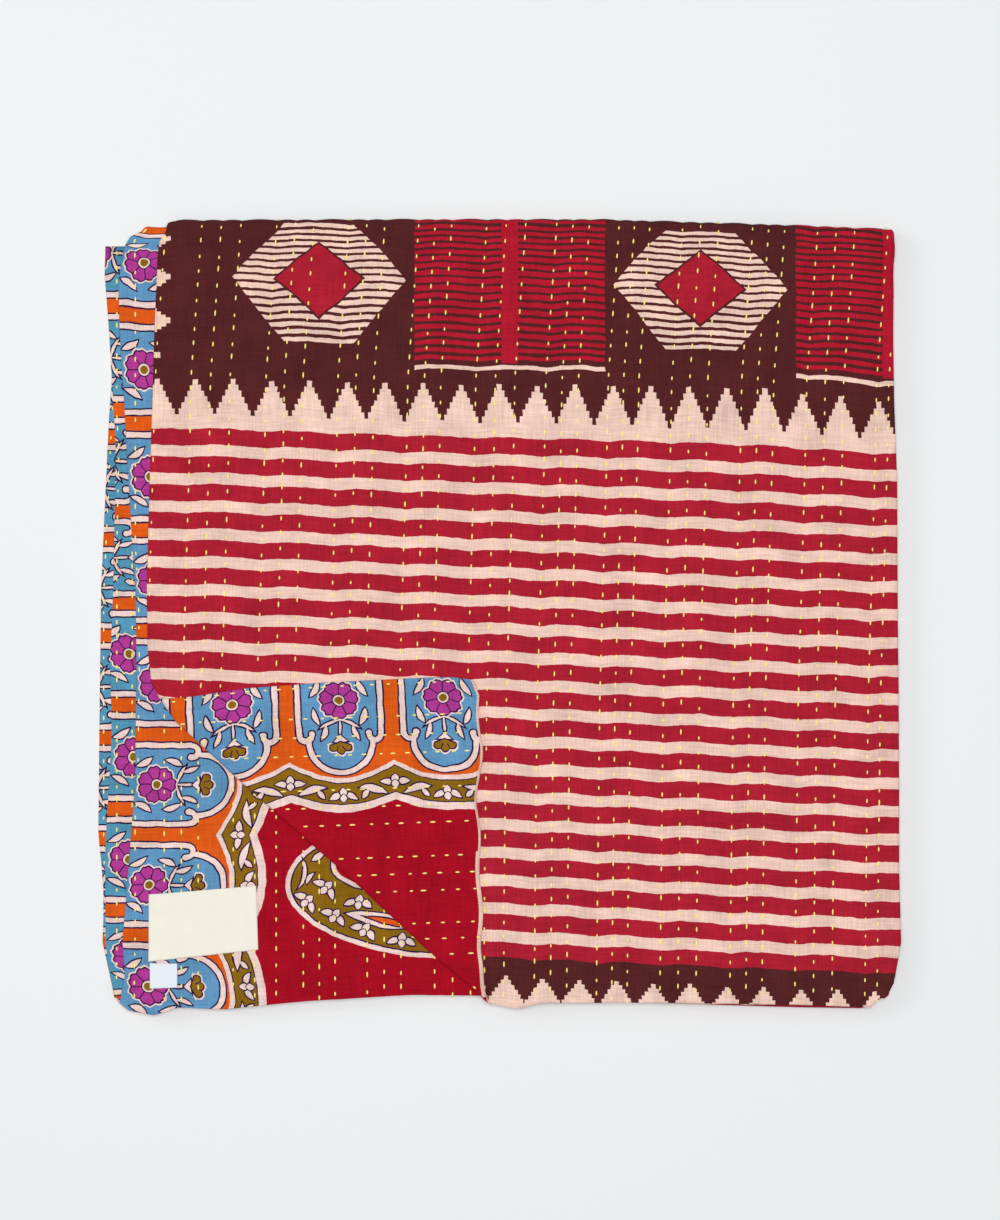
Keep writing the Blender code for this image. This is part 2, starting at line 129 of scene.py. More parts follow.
FIRST_LEAF_LOWER_HEM = (
    Edge(-0.339, -0.3890), Edge(-0.317, -0.3960), Edge(-0.262, -0.3955), Edge(-0.210, -0.3890),
    Edge(-0.145, -0.3890), Edge(-0.080, -0.3865), Edge(-0.030, -0.3850), Edge(0.017, -0.3920),
    Edge(0.042, -0.3865),
    Edge(0.150, -0.3858), Edge(0.300, -0.3880), Edge(0.371, -0.3905), Edge(0.377, -0.3826),
    Edge(0.394, -0.3760),
)
SECOND_LEAF_LOWER_HEM = (
    Edge(-0.372, -0.3940), Edge(-0.346, -0.3990), Edge(-0.323, -0.3910), Edge(-0.275, -0.3930),
    Edge(-0.196, -0.3846), Edge(-0.100, -0.3784), Edge(-0.020, -0.3794), Edge(0.060, -0.3830),
    Edge(0.390, -0.3800),
)
FAR_FOLD_STRAY = (
    Edge(-0.396, 0.0015), Edge(-0.374, 0.0015), Edge(-0.358, -0.0035), Edge(-0.337, -0.0040),
    Edge(-0.320, -0.0008), Edge(-0.100, 0.0), Edge(0.100, 0.0), Edge(0.300, -0.0060),
    Edge(0.394, -0.0100),
)
NEAR_FOLD_STRAY = (
    Edge(-0.385, 0.0010), Edge(-0.300, 0.0020), Edge(-0.200, 0.0100), Edge(-0.020, 0.0130),
    Edge(0.060, 0.0040), Edge(0.300, -0.0030), Edge(0.366, -0.0040), Edge(0.380, 0.0050),
    Edge(0.390, 0.0080),
)
FAR_STRAY_REACH = 0.180
NEAR_STRAY_REACH = 0.080
SINK_WIDTH = 0.032
SINK_FADE = 0.050

# The corner that is turned back, along a crease from its left end to its right end
CREASE_LEFT = (-0.337, -0.080)
CREASE_RIGHT = (-0.021, -0.375)
CREASE_RADIUS = 0.0025
CREASE_STEPS = 8
FLAP_HEIGHT = 0.0038
FLAP_SETTLE = 0.015
FLAP_EASE = 1.035
Bow = namedtuple("Bow", "share out")
CREASE_BOW = (
    Bow(0.0, 0.0), Bow(0.06, 0.006), Bow(0.30, 0.0055), Bow(0.60, 0.001), Bow(0.85, 0.001),
    Bow(1.0, -0.002),
)
BOW_REACH = 0.050
CREASE_RUN = (CREASE_RIGHT[0] - CREASE_LEFT[0], CREASE_RIGHT[1] - CREASE_LEFT[1])
CREASE_LENGTH = math.hypot(*CREASE_RUN)
CREASE_ALONG = (CREASE_RUN[0] / CREASE_LENGTH, CREASE_RUN[1] / CREASE_LENGTH)
CREASE_OUT = (CREASE_ALONG[1], -CREASE_ALONG[0])
CREASE_ROLL = math.pi * CREASE_RADIUS

# Groups of stitch lines of the first leaf, as the x of the first line, the pitch and how many
Group = namedtuple("Group", "x pitch lines")
FIRST_LEAF_GROUPS = (
    Group(-0.3463, 0.0180, 1), Group(-0.3100, 0.0195, 3), Group(-0.2350, 0.0185, 3),
    Group(-0.1630, 0.0180, 3), Group(-0.0930, 0.0165, 3), Group(-0.0250, 0.0195, 3),
    Group(0.0450, 0.0163, 3), Group(0.1075, 0.0153, 3), Group(0.1710, 0.0180, 3),
    Group(0.2410, 0.0160, 3), Group(0.3060, 0.0185, 3), Group(0.3760, 0.0120, 2),
)
SECOND_LEAF_GROUPS = (
    Group(-0.3660, 0.0180, 1), Group(-0.3360, 0.0170, 3), Group(-0.2670, 0.0215, 3),
    Group(-0.1970, 0.0160, 3), Group(-0.1330, 0.0170, 3), Group(-0.0655, 0.0180, 3),
)

# How far the lines lean from where they are at the first of these distances along the cloth
Lean = namedtuple("Lean", "along shift")
LINE_LEAN = (
    Lean(0.0, -0.0110), Lean(0.304, -0.0075), Lean(0.564, 0.0), Lean(0.624, 0.0010),
    Lean(0.787, 0.0125), Lean(0.950, 0.0010), Lean(1.010, 0.0), Lean(1.580, -0.0110),
)
STRAIGHT_ALONG = 0.564

# Rows of stitches on the two margins that show at the left
MIDDLE_MARGIN_ROWS = (-0.3850, -0.3695)
BOTTOM_MARGIN_ROW = -0.3985

# Grid of the cloth
HEM_STEPS = (0.0008, 0.0022, 0.0040, 0.0058, 0.0078)
COLUMN_STEP = 0.0046
HIDDEN_COLUMN_STEP = 0.0160
SHOWN_SECOND_LEAF_X = 0.0
TOP_ROW_STEP = 0.0090
OTHER_ROW_STEP = 0.0280
SIDE_FOLD_STEPS = 6
ARC_STEPS = 8
EDGE_BLEND = 0.040

# Heights of the doubled cloth's middle in each panel
SOLID_THICKNESS = 0.0020
BOTTOM_Z = SOLID_THICKNESS / 2 + LEAF_PITCH / 2
MIDDLE_Z = BOTTOM_Z + 2 * LEAF_PITCH
TOP_Z = MIDDLE_Z + 2 * LEAF_PITCH
FAR_RADIUS = (TOP_Z - BOTTOM_Z) / 2
NEAR_RADIUS = (MIDDLE_Z - BOTTOM_Z) / 2
SIDE_RADIUS = LEAF_PITCH / 2
SIDE_BEND = math.pi * SIDE_RADIUS

# Distances along the cloth's length at which each stretch ends
TOP_END = FAR_FOLD_Y - LOWER_HEM_Y
FAR_END = TOP_END + math.pi * FAR_RADIUS
BOTTOM_END = FAR_END + FAR_FOLD_Y - NEAR_FOLD_Y
NEAR_END = BOTTOM_END + math.pi * NEAR_RADIUS
CLOTH_LENGTH = NEAR_END + MIDDLE_PANEL[-1].y - NEAR_FOLD_Y

# Where the bars of the reverse print cross each leaf's long hem, counted along the cloth
Bar = namedtuple("Bar", "along count")
FIRST_LEAF_BARS = (
    Bar(-0.024, 0.0), Bar(0.0777, 1.0), Bar(0.1805, 2.0), Bar(0.287, 3.0), Bar(0.395, 4.0),
    Bar(1.006, 10.0), Bar(1.110, 11.0), Bar(1.206, 12.0), Bar(1.309, 13.0), Bar(1.410, 14.0),
    Bar(2.340, 23.0),
)
SECOND_LEAF_BARS = (
    Bar(-0.034, 40.0), Bar(0.068, 41.0), Bar(0.169, 42.0), Bar(0.269, 43.0), Bar(0.373, 44.0),
    Bar(0.474, 45.0), Bar(0.581, 46.0), Bar(0.690, 47.0), Bar(0.7465, 47.5), Bar(0.779, 48.0),
    Bar(1.577, 56.0), Bar(1.669, 57.0),
    Bar(1.771, 58.0), Bar(1.876, 59.0), Bar(1.978, 60.0), Bar(2.069, 61.0), Bar(2.172, 62.0),
    Bar(2.276, 63.0), Bar(2.380, 64.0),
)
BAR_REPEAT = 104.0

# How much of the reverse print is lost past each long hem
Lost = namedtuple("Lost", "along lost")
FIRST_LEAF_LOST = (
    Lost(0.05, 0.0015), Lost(0.13, 0.0030), Lost(0.234, 0.0060), Lost(0.32, 0.0060), Lost(0.78, 0.0015),
    Lost(0.80, 0.0445), Lost(2.34, 0.0445),
)
SECOND_LEAF_LOST = (
    Lost(0.0, 0.0), Lost(1.0, 0.0), Lost(1.50, -0.0025), Lost(1.891, -0.0005), Lost(1.961, 0.0075),
    Lost(2.001, 0.0425), Lost(2.081, 0.0465), Lost(2.231, 0.0425), Lost(2.332, 0.0355),
)
FIRST_LEAF_SPREAD = 1.06

# The striped print slopes down to the right, more so further from the far fold
Slope = namedtuple("Slope", "drop slope")
PRINT_SLOPE = (Slope(0.003, 0.012), Slope(0.153, 0.024), Slope(0.213, 0.035), Slope(0.733, 0.040))
PRINT_LEFT_X = -0.350

# Gathers lift the print a little across the middle, and most of all at the teeth
PRINT_LIFT = (
    Edge(-0.120, 0.0), Edge(0.0, 0.0015), Edge(0.080, 0.0033), Edge(0.150, 0.0045),
    Edge(0.265, 0.0050), Edge(0.303, 0.0023), Edge(0.341, 0.0), Edge(0.390, -0.0028),
)
Share = namedtuple("Share", "drop share")
PRINT_LIFT_SHARE = (
    Share(0.060, 0.0), Share(0.125, 0.2), Share(0.145, 1.0), Share(0.190, 1.0), Share(0.210, 0.7),
    Share(0.260, 0.3), Share(0.350, 0.0),
)
FOLD_LINE = (TOP_END + FAR_END) / 2
UNDER_SHRINK = 0.915
FOLD_STRETCH_REACH = 0.0607
FOLD_STRETCH = 3.3
ZIGZAG = (0.0013, -0.0006, -0.0008)

# Sewn labels: corners in order round the piece
CLOTH_LABEL = (
    Edge(-0.352, -0.345), Edge(-0.242, -0.333), Edge(-0.244, -0.269), Edge(-0.352, -0.278),
)
CARE_LABEL = (
    Edge(-0.3505, -0.372), Edge(-0.323, -0.371), Edge(-0.323, -0.347), Edge(-0.3505, -0.3465),
)


def linear(hex_colour):
    """Turn an sRGB hex colour into the linear values that a shader takes."""
    values = []
    for start in (1, 3, 5):
        value = int(hex_colour[start:start + 2], 16) / 255
        values.append(value / 12.92 if value <= 0.04045 else ((value + 0.055) / 1.055) ** 2.4)
    return tuple(values)


def smooth(value):
    """Ease from 0 to 1 as value goes from 0 to 1."""
    value = min(max(value, 0.0), 1.0)
    return value * value * (3 - 2 * value)


def read_table(rows, position, column):
    """Read one column of a table at a position in its first column."""
    first = rows[0]
    for second in rows[1:]:
        if (position - first[0]) * (position - second[0]) <= 0:
            break
        first = second
    else:
        near_start = abs(position - rows[0][0]) < abs(position - rows[-1][0])
        return getattr(rows[0] if near_start else rows[-1], column)
    share = (position - first[0]) / (second[0] - first[0])
    return getattr(first, column) * (1 - share) + getattr(second, column) * share


Station = namedtuple("Station", "along first_hem second_hem fold")


def list_stations():
    """Put the rows of the three panels in one table, by distance along the cloth."""
    stations = []
    for row in TOP_PANEL:
        stations.append(Station(row.y - LOWER_HEM_Y, *row[1:]))
    for row in BOTTOM_PANEL:
        stations.append(Station(FAR_END + FAR_FOLD_Y - row.y, *row[1:]))
    for row in MIDDLE_PANEL:
        stations.append(Station(NEAR_END + row.y - NEAR_FOLD_Y, *row[1:]))
    return stations


STATIONS = list_stations()


def fold_at(along):
    """Where the side fold starts to bend."""
    return read_table(STATIONS, along, "fold")


def hem_at(along, leaf):
    """Where a leaf's long hem is."""
    return read_table(STATIONS, along, leaf + "_hem")


def lean_at(along):
    """How far the stitch lines lean aside."""
    return read_table(LINE_LEAN, along, "shift")


def list_lines(groups):
    """The x of each stitch line, from left to right."""
    return [group.x + group.pitch * line for group in groups for line in range(group.lines)]


FIRST_LEAF_LINES = list_lines(FIRST_LEAF_GROUPS)
SECOND_LEAF_LINES = list_lines(SECOND_LEAF_GROUPS)
WIDEST_GAP = 0.036
RIDGE_FADE = 0.040
SECOND_LEAF_RIDGE_TOP_Y = -0.080
SECOND_LEAF_RIDGE_RIGHT_X = -0.030

# Unevenness of the cloth: how close its waves and the ripples on them lie along x and y
WAVE_SCALE = (14, 9)
RIPPLE_SCALE = (55, 38)
RIPPLE_SHARE = 0.5
RIPPLE_LAYER = 3.0


def ridge(lines, x, along):
    """Share of the full height of the soft ridge between two stitch lines, 0 on a line."""
    x -= lean_at(along)
    place = bisect_right(lines, x)
    if place == 0 or place == len(lines):
        return 0.0
    left, right = lines[place - 1], lines[place]
    return math.sqrt((right - left) / WIDEST_GAP) * math.sin(math.pi * (x - left) / (right - left))


def waves(x, y):
    """Soft unevenness of hand-stitched cloth, from -1 to 1."""
    wave = noise.noise(Vector((x * WAVE_SCALE[0], y * WAVE_SCALE[1], 0.0)))
    ripple = noise.noise(Vector((x * RIPPLE_SCALE[0], y * RIPPLE_SCALE[1], RIPPLE_LAYER)))
    return wave + RIPPLE_SHARE * ripple


def sink(x, y, panel, column):
    """How far a leaf sinks at the left, over a hem that ends short under it."""
    return LEAF_PITCH * smooth((read_table(panel, y, column) - x) / SINK_WIDTH)


def sink_in_middle_panel(x, y):
    """The middle panel sinks over the bottom panel's second hem, but not at the near fold."""
    return sink(x, y, BOTTOM_PANEL, "second_hem") * smooth((y - NEAR_FOLD_Y) / SINK_FADE)


def sink_in_top_panel(x, y):
    """The top panel sinks over both hems that end short under it, but not at the far fold."""
    depth = sink_in_middle_panel(x, y) + sink(x, y, MIDDLE_PANEL, "first_hem")
    return depth * smooth((FAR_FOLD_Y - y) / SINK_FADE)


def far_stray(x, y):
    """How far the far fold strays from straight, fading over the panels."""
    far = smooth((y - FAR_FOLD_Y + FAR_STRAY_REACH) / FAR_STRAY_REACH)
    return read_table(FAR_FOLD_STRAY, x, "y") * far


def near_stray(x, y):
    """How far the near fold strays. The lower hems over it have tables of their own."""
    near = smooth((NEAR_FOLD_Y + NEAR_STRAY_REACH - y) / NEAR_STRAY_REACH)
    return read_table(NEAR_FOLD_STRAY, x, "y") * near


def from_crease(x, y):
    """How far a flat point is along the crease, and how far out of the corner from it."""
    x, y = x - CREASE_LEFT[0], y - CREASE_LEFT[1]
    return x * CREASE_ALONG[0] + y * CREASE_ALONG[1], x * CREASE_OUT[0] + y * CREASE_OUT[1]


def crease_bow(along, offset):
    """How far the crease bows out, less so away from it and past its ends."""
    bow = read_table(CREASE_BOW, along / CREASE_LENGTH, "out") * math.exp(-abs(offset) / BOW_REACH)
    bow *= smooth(1 + min(along, 0) / BOW_REACH)
    return bow * smooth(1 - (along - CREASE_LENGTH) / BOW_REACH)


def clear_of_bow(x, y, way):
    """Move a flat point of the turned corner out along the bow, or back if way is -1."""
    along, beyond = from_crease(x, y)
    bow = crease_bow(along, max(beyond - CREASE_ROLL, 0.0))
    move = way * smooth(2 * beyond / CREASE_ROLL) * bow
    return x + move * CREASE_OUT[0], y + move * CREASE_OUT[1]


def turn_corner(x, y):
    """Where the crease takes a point of the first leaf: its x, its y and how far it rises."""
    along, beyond = from_crease(x, y)
    rise = 0.0
    offset = beyond
    if beyond > CREASE_ROLL:
        back = (beyond - CREASE_ROLL) * FLAP_EASE
        offset = -back
        rise = FLAP_HEIGHT + (2 * CREASE_RADIUS - FLAP_HEIGHT) * math.exp(-back / FLAP_SETTLE)
    elif beyond > 0:
        angle = beyond / CREASE_RADIUS
        offset = CREASE_RADIUS * math.sin(angle)
        rise = CREASE_RADIUS * (1 - math.cos(angle))
    offset += crease_bow(along, offset)
    x = CREASE_LEFT[0] + along * CREASE_ALONG[0] + offset * CREASE_OUT[0]
    y = CREASE_LEFT[1] + along * CREASE_ALONG[1] + offset * CREASE_OUT[1]
    return x, y, rise


def fold_in_top_panel(x, y, normal, first_leaf, sizes):
    """Place a point of the top panel, with its ridges and the corner that is turned back."""
    along = y - LOWER_HEM_Y
    if first_leaf:
        lift = sizes.ridge_height * ridge(FIRST_LEAF_LINES, x, along)
        lift += sizes.wave_height * waves(x, y)
        x, y, rise = turn_corner(x, y)
        lift += rise
    else:
        lift = sizes.ridge_height * ridge(SECOND_LEAF_LINES, x, along)
        lift *= smooth((SECOND_LEAF_RIDGE_TOP_Y - y) / RIDGE_FADE)
        lift *= smooth((SECOND_LEAF_RIDGE_RIGHT_X - x) / RIDGE_FADE)
    z = TOP_Z + normal + lift - sink_in_top_panel(x, y)
    return x, y + far_stray(x, y), z


def fold_sheet(flat_x, flat_y, sizes):
    """Fold a point of the flat sheet in half and then in three."""
    along = flat_y - LOWER_HEM_Y
    fold = fold_at(along)
    past_fold = flat_x - fold
    relief = 0.0
    if past_fold <= 0:
        x = flat_x
        normal = SIDE_RADIUS
        relief = sizes.ridge_height * ridge(FIRST_LEAF_LINES, x, along)
    elif past_fold < SIDE_BEND:
        angle = past_fold / SIDE_RADIUS
        x = fold + SIDE_RADIUS * math.sin(angle)
        normal = SIDE_RADIUS * math.cos(angle)
    else:
        x = fold - (past_fold - SIDE_BEND)
        normal = -SIDE_RADIUS

    if along <= TOP_END:
        x, y, z = fold_in_top_panel(x, flat_y, normal, past_fold <= 0, sizes)
    elif along < FAR_END:
        share = (along - TOP_END) / (FAR_END - TOP_END)
        normal += relief - share * sizes.ridge_height
        angle = math.pi * share
        y = FAR_FOLD_Y + (FAR_RADIUS + normal) * math.sin(angle)
        z = BOTTOM_Z + FAR_RADIUS + (FAR_RADIUS + normal) * math.cos(angle)
        y += far_stray(x, y)
    elif along <= BOTTOM_END:
        y = FAR_FOLD_Y - (along - FAR_END)
        z = BOTTOM_Z - normal
        if past_fold <= 0:
            z += sizes.ridge_height - relief
        y += far_stray(x, y) + near_stray(x, y)
    elif along < NEAR_END:
        angle = (along - BOTTOM_END) / NEAR_RADIUS
        y = NEAR_FOLD_Y - (NEAR_RADIUS + normal) * math.sin(angle)
        z = BOTTOM_Z + NEAR_RADIUS - (NEAR_RADIUS + normal) * math.cos(angle)
        y += near_stray(x, y)
    else:
        y = NEAR_FOLD_Y + along - NEAR_END
        z = MIDDLE_Z + normal - sink_in_middle_panel(x, y)
        y += far_stray(x, y) + near_stray(x, y)
    return Vector((x - MIDDLE_X, y - MIDDLE_Y, z))


NORMAL_STEP = 0.0005


def on_cloth(flat_x, flat_y, height, sizes):
    """A point at a height over the striped face, or under it if the height is negative."""
    point = fold_sheet(flat_x, flat_y, sizes)
    across = fold_sheet(flat_x + NORMAL_STEP, flat_y, sizes) - point
    up = fold_sheet(flat_x, flat_y + NORMAL_STEP, sizes) - point
    return point + across.cross(up).normalized() * height


def split(points, step):
    """Add points between the given ones, so that none are further apart than a step."""
    result = []
    for first, second in zip(points, points[1:]):
        count = max(1, math.ceil((second - first) / step - TINY))
        result += [first + (second - first) * part / count for part in range(count)]
    return result + [points[-1]]


def list_columns():
    """Columns of the grid, as a place from hem to fold and whether it follows the stitch lines."""
    hem = hem_at(STRAIGHT_ALONG, "first")
    fold = fold_at(STRAIGHT_ALONG)
    second_hem = hem_at(STRAIGHT_ALONG, "second")
    inner = [x for x in FIRST_LEAF_LINES if hem + HEM_STEPS[-1] + COLUMN_STEP < x < fold]
    first = [hem] + [hem + step for step in HEM_STEPS]
    first += split([first[-1]] + inner + [fold], COLUMN_STEP)[1:]
    columns = [("first", (x - hem) / (fold - hem), x) for x in first]
    columns += [("bend", step / SIDE_FOLD_STEPS, 0.0) for step in range(1, SIDE_FOLD_STEPS)]
    inner = [x for x in SECOND_LEAF_LINES if second_hem + HEM_STEPS[-1] + COLUMN_STEP < x < 0]
    second = [second_hem] + [second_hem + step for step in HEM_STEPS]
    second += split([second[-1]] + inner + [SHOWN_SECOND_LEAF_X], COLUMN_STEP)[1:]
    second += split([SHOWN_SECOND_LEAF_X, fold], HIDDEN_COLUMN_STEP)[1:]
    columns += [("second", (x - second_hem) / (fold - second_hem), x) for x in reversed(second)]
    return columns


def list_rows():
    """Rows of the grid, as distances along the cloth."""
    rows = [0.0] + list(HEM_STEPS)
    rows += split([HEM_STEPS[-1], TOP_END], TOP_ROW_STEP)[1:]
    rows += split([TOP_END, FAR_END], (FAR_END - TOP_END) / ARC_STEPS)[1:]
    rows += split([FAR_END, BOTTOM_END], OTHER_ROW_STEP)[1:]
    rows += split([BOTTOM_END, NEAR_END], (NEAR_END - BOTTOM_END) / ARC_STEPS)[1:]
    rows += split([NEAR_END, CLOTH_LENGTH], OTHER_ROW_STEP)[1:]
    return rows


# Small waves of the rolled hem along the flap, and how far in a lower hem's line is felt
HEM_WAVE = 0.0015
HEM_WAVE_CREST = -0.258
HEM_WAVE_LENGTH = 0.076
HEM_WAVE_ENDS = (-0.335, -0.040)
HEM_WAVE_FADE = 0.03
LOWER_HEM_FADE = 0.030


def first_lower_hem(x):
    """The first leaf's lower hem, with the waves of its rolled edge on the flap."""
    ends = smooth(min(x - HEM_WAVE_ENDS[0], HEM_WAVE_ENDS[1] - x) / HEM_WAVE_FADE)
    wave = math.cos(2 * math.pi * (x - HEM_WAVE_CREST) / HEM_WAVE_LENGTH)
    return read_table(FIRST_LEAF_LOWER_HEM, x, "y") - HEM_WAVE * ends * wave


def place_on_sheet(column, along):
    """Flat place of a grid point: columns follow the hems, and the stitch lines between them."""
    leaf, share, straight_x = column
    x = fold = fold_at(along)
    if leaf != "bend":
        hem = hem_at(along, leaf)
        x = hem + share * (fold - hem)
        inside = min(x - hem, fold - x) / EDGE_BLEND
        x += (straight_x + lean_at(along) - x) * smooth(inside)
    lower = read_table(SECOND_LEAF_LOWER_HEM, x, "y") if leaf == "second" else first_lower_hem(x)
    y = LOWER_HEM_Y + along + (lower - LOWER_HEM_Y) * (1 - smooth(along / LOWER_HEM_FADE))
    if leaf == "bend":
        x += share * SIDE_BEND
    elif leaf == "second":
        x = 2 * fold + SIDE_BEND - x
    return x, y


def hem_distance(leaf, x, along):
    """Distance from the nearest long hem, on either leaf."""
    if leaf == "bend":
        return 1.0
    if leaf == "second":
        x = 2 * fold_at(along) + SIDE_BEND - x
    return x - hem_at(along, leaf)


def striped_place(x, along):
    """UV of the striped print, in metres right of the middle and down from the far fold."""
    drop = FOLD_LINE - along
    if drop < 0:
        drop *= -UNDER_SHRINK
    place = drop - read_table(PRINT_SLOPE, drop, "slope") * (x - PRINT_LEFT_X)
    place += read_table(PRINT_LIFT, x, "y") * read_table(PRINT_LIFT_SHARE, drop, "share")
    near = max(0.0, FOLD_STRETCH_REACH - place)
    place -= FOLD_STRETCH * near * near
    lean = lean_at(along)
    return x, place - read_table(ZIGZAG_PLACES, x - lean, "y")


# The print dips at the first line of each group, and rises at the others
ZIGZAG_PLACES = [Edge(group.x + group.pitch * line, ZIGZAG[line])
                 for group in FIRST_LEAF_GROUPS for line in range(group.lines)]


def reverse_place(leaf, x, along):
    """UV of the reverse print, in metres in from the long hem and along it."""
    inside = hem_distance(leaf, x, along)
    if leaf == "first":
        inside = inside * FIRST_LEAF_SPREAD + read_table(FIRST_LEAF_LOST, along, "lost")
        count = read_table(FIRST_LEAF_BARS, along, "count")
    else:
        inside += read_table(SECOND_LEAF_LOST, along, "lost")
        count = read_table(SECOND_LEAF_BARS, along, "count")
    return inside, count * BAR_REPEAT * MM


# Unevenness of the block printing, and the cotton's grain, dyeing and puckers
PRINT_STRAY = 2.4
PRINT_STRAY_SCALE = 0.07
THREAD_SCALES = ((0.62, 0.035, 1.0), (0.035, 0.62, 1.0))
THREAD_SHADE = 0.34
CLOUD_SCALE = 0.03
CLOUD_SHADE = 0.45
WEAVE_STRENGTH = 0.35
WEAVE_DEPTH = 0.0006
PUCKER_SCALE = (0.045, 0.12, 1.0)
PUCKER_DEPTH = 0.0020
COTTON_ROUGHNESS = 0.88
CLOTH_SHEEN = 0.08


class Field:
    """A value that varies over a surface, so that a print is written as plain arithmetic."""

    def __init__(self, tree, socket):
        self.tree = tree
        self.socket = socket

    def apply(self, operation, *others):
        inputs = {place: value for place, value in enumerate((self, *others))}
        node = add_node(self.tree, "ShaderNodeMath", {"operation": operation}, inputs)
        return Field(self.tree, node.outputs[0])

    def __add__(self, other):
        return self.apply("ADD", other)

    def __sub__(self, other):
        return self.apply("SUBTRACT", other)

    def __mul__(self, other):
        return self.apply("MULTIPLY", other)

    def __truediv__(self, other):
        return self.apply("DIVIDE", other)

    def __lt__(self, other):
        return self.apply("LESS_THAN", other)

    def __gt__(self, other):
        return self.apply("GREATER_THAN", other)

    def __and__(self, other):
        return self.apply("MULTIPLY", other)

    def __or__(self, other):
        return self.apply("MAXIMUM", other)

    def __abs__(self):
        return self.apply("ABSOLUTE")

    def floor(self):
        return self.apply("FLOOR")

    def most(self, other):
        return self.apply("MAXIMUM", other)

    def least(self, other):
        return self.apply("MINIMUM", other)

    def fold_back(self, width):
        """Go from 0 up to the width and back, again and again."""
        return self.apply("PINGPONG", width)


def hypotenuse(first, second):
    """Length of a slope with two fields as its sides."""
    return (first * first + second * second).apply("SQRT")


def add_node(tree, kind, settings=None, inputs=None):
    """Add a node, set its properties, and link or set its inputs."""
    node = tree.nodes.new(kind)
    for name, value in (settings or {}).items():
        setattr(node, name, value)
    for name, value in (inputs or {}).items():
        if isinstance(value, Field):
            value = value.socket
        if isinstance(value, bpy.types.NodeSocket):
            tree.links.new(value, node.inputs[name])
        else:
            node.inputs[name].default_value = value
    return node


def scale_vector(tree, vector, scale):
    """A vector or colour times a value."""
    return add_node(tree, "ShaderNodeVectorMath", {"operation": "SCALE"},
                    {0: vector, "Scale": scale}).outputs[0]


def split_vector(tree, vector):
    """The x and the y of a vector, as fields."""
    parts = add_node(tree, "ShaderNodeSeparateXYZ", None, {0: vector})
    return Field(tree, parts.outputs[0]), Field(tree, parts.outputs[1])


def join_fields(tree, x, y):
    """Two fields as a vector's x and y."""
    return add_node(tree, "ShaderNodeCombineXYZ", None, {0: x, 1: y}).outputs[0]


def object_place(tree):
    """The place in the object's own axes."""
    return add_node(tree, "ShaderNodeTexCoord").outputs["Object"]


def noise_node(tree, place, scale, detail, dimensions="2D"):
    """Soft random clouds."""
    return add_node(tree, "ShaderNodeTexNoise", {"noise_dimensions": dimensions},
                    {"Vector": place, "Scale": scale, "Detail": detail})


def noise_field(tree, place, scale, detail, dimensions="2D"):
    """Soft random clouds, as a field from 0 to 1."""
    return Field(tree, noise_node(tree, place, scale, detail, dimensions).outputs["Fac"])


def stretched_noise(tree, place, scale, detail):
    """Clouds drawn out along one way."""
    stretched = add_node(tree, "ShaderNodeMapping", None, {"Vector": place, "Scale": scale})
    return noise_field(tree, stretched.outputs[0], 1.0, detail)


def bump(tree, height, strength, depth, under=None):
    """A normal that follows a height, laid over another normal if one is given."""
    inputs = {"Height": height, "Strength": strength, "Distance": depth}
    if under:
        inputs["Normal"] = under
    return add_node(tree, "ShaderNodeBump", None, inputs).outputs[0]


def cover(tree, surface, colour, shade, normal=None):
    """Give a surface its colour in an uneven shade, and its normal."""
    tree.links.new(scale_vector(tree, colour, shade), surface.inputs["Base Color"])
    if normal:
        tree.links.new(normal, surface.inputs["Normal"])


def paint(tree, under, colour, where):
    """Lay a colour over another one where a field is 1."""
    under = (*under, 1.0) if isinstance(under, tuple) else under
    colour = (*colour, 1.0) if isinstance(colour, tuple) else colour
    node = add_node(tree, "ShaderNodeMix", {"data_type": "RGBA"}, {0: where, 6: under, 7: colour})
    return node.outputs[2]


def read_print_place(tree, layer):
    """The place in a print's UV map in millimetres, a little uneven as a block print is."""
    uv = add_node(tree, "ShaderNodeUVMap", {"uv_map": layer})
    place = scale_vector(tree, uv.outputs[0], 1 / MM)
    uneven = noise_node(tree, place, PRINT_STRAY_SCALE, 2.0)
    centred = add_node(tree, "ShaderNodeVectorMath", {"operation": "SUBTRACT"},
                       {0: uneven.outputs["Color"], 1: (0.5, 0.5, 0.5)})
    stray = scale_vector(tree, centred.outputs[0], PRINT_STRAY)
    moved = add_node(tree, "ShaderNodeVectorMath", {"operation": "ADD"}, {0: place, 1: stray})
    return place, *split_vector(tree, moved.outputs[0])


def new_material(name, roughness):
    """A material, its tree and the node of its surface."""
    material = bpy.data.materials.new(name)
    material.use_nodes = True
    surface = material.node_tree.nodes["Principled BSDF"]
    surface.inputs["Roughness"].default_value = roughness
    surface.inputs["Specular IOR Level"].default_value = CLOTH_SHEEN
    return material, material.node_tree, surface


def weave(tree, place, surface, colour):
    """Threads of plain-woven cotton, drawn 1.6 mm apart so that they show in the render."""
    warp, weft = [stretched_noise(tree, place, scale, 1.0) for scale in THREAD_SCALES]
    height = warp + weft
    cloud = noise_field(tree, place, CLOUD_SCALE, 2.0)
    shade = (height - 1.0) * THREAD_SHADE + (cloud - 0.5) * CLOUD_SHADE + 1.0
    soft = bump(tree, stretched_noise(tree, place, PUCKER_SCALE, 2.0), 1.0, PUCKER_DEPTH)
    cover(tree, surface, colour, shade, bump(tree, height, WEAVE_STRENGTH, WEAVE_DEPTH, soft))


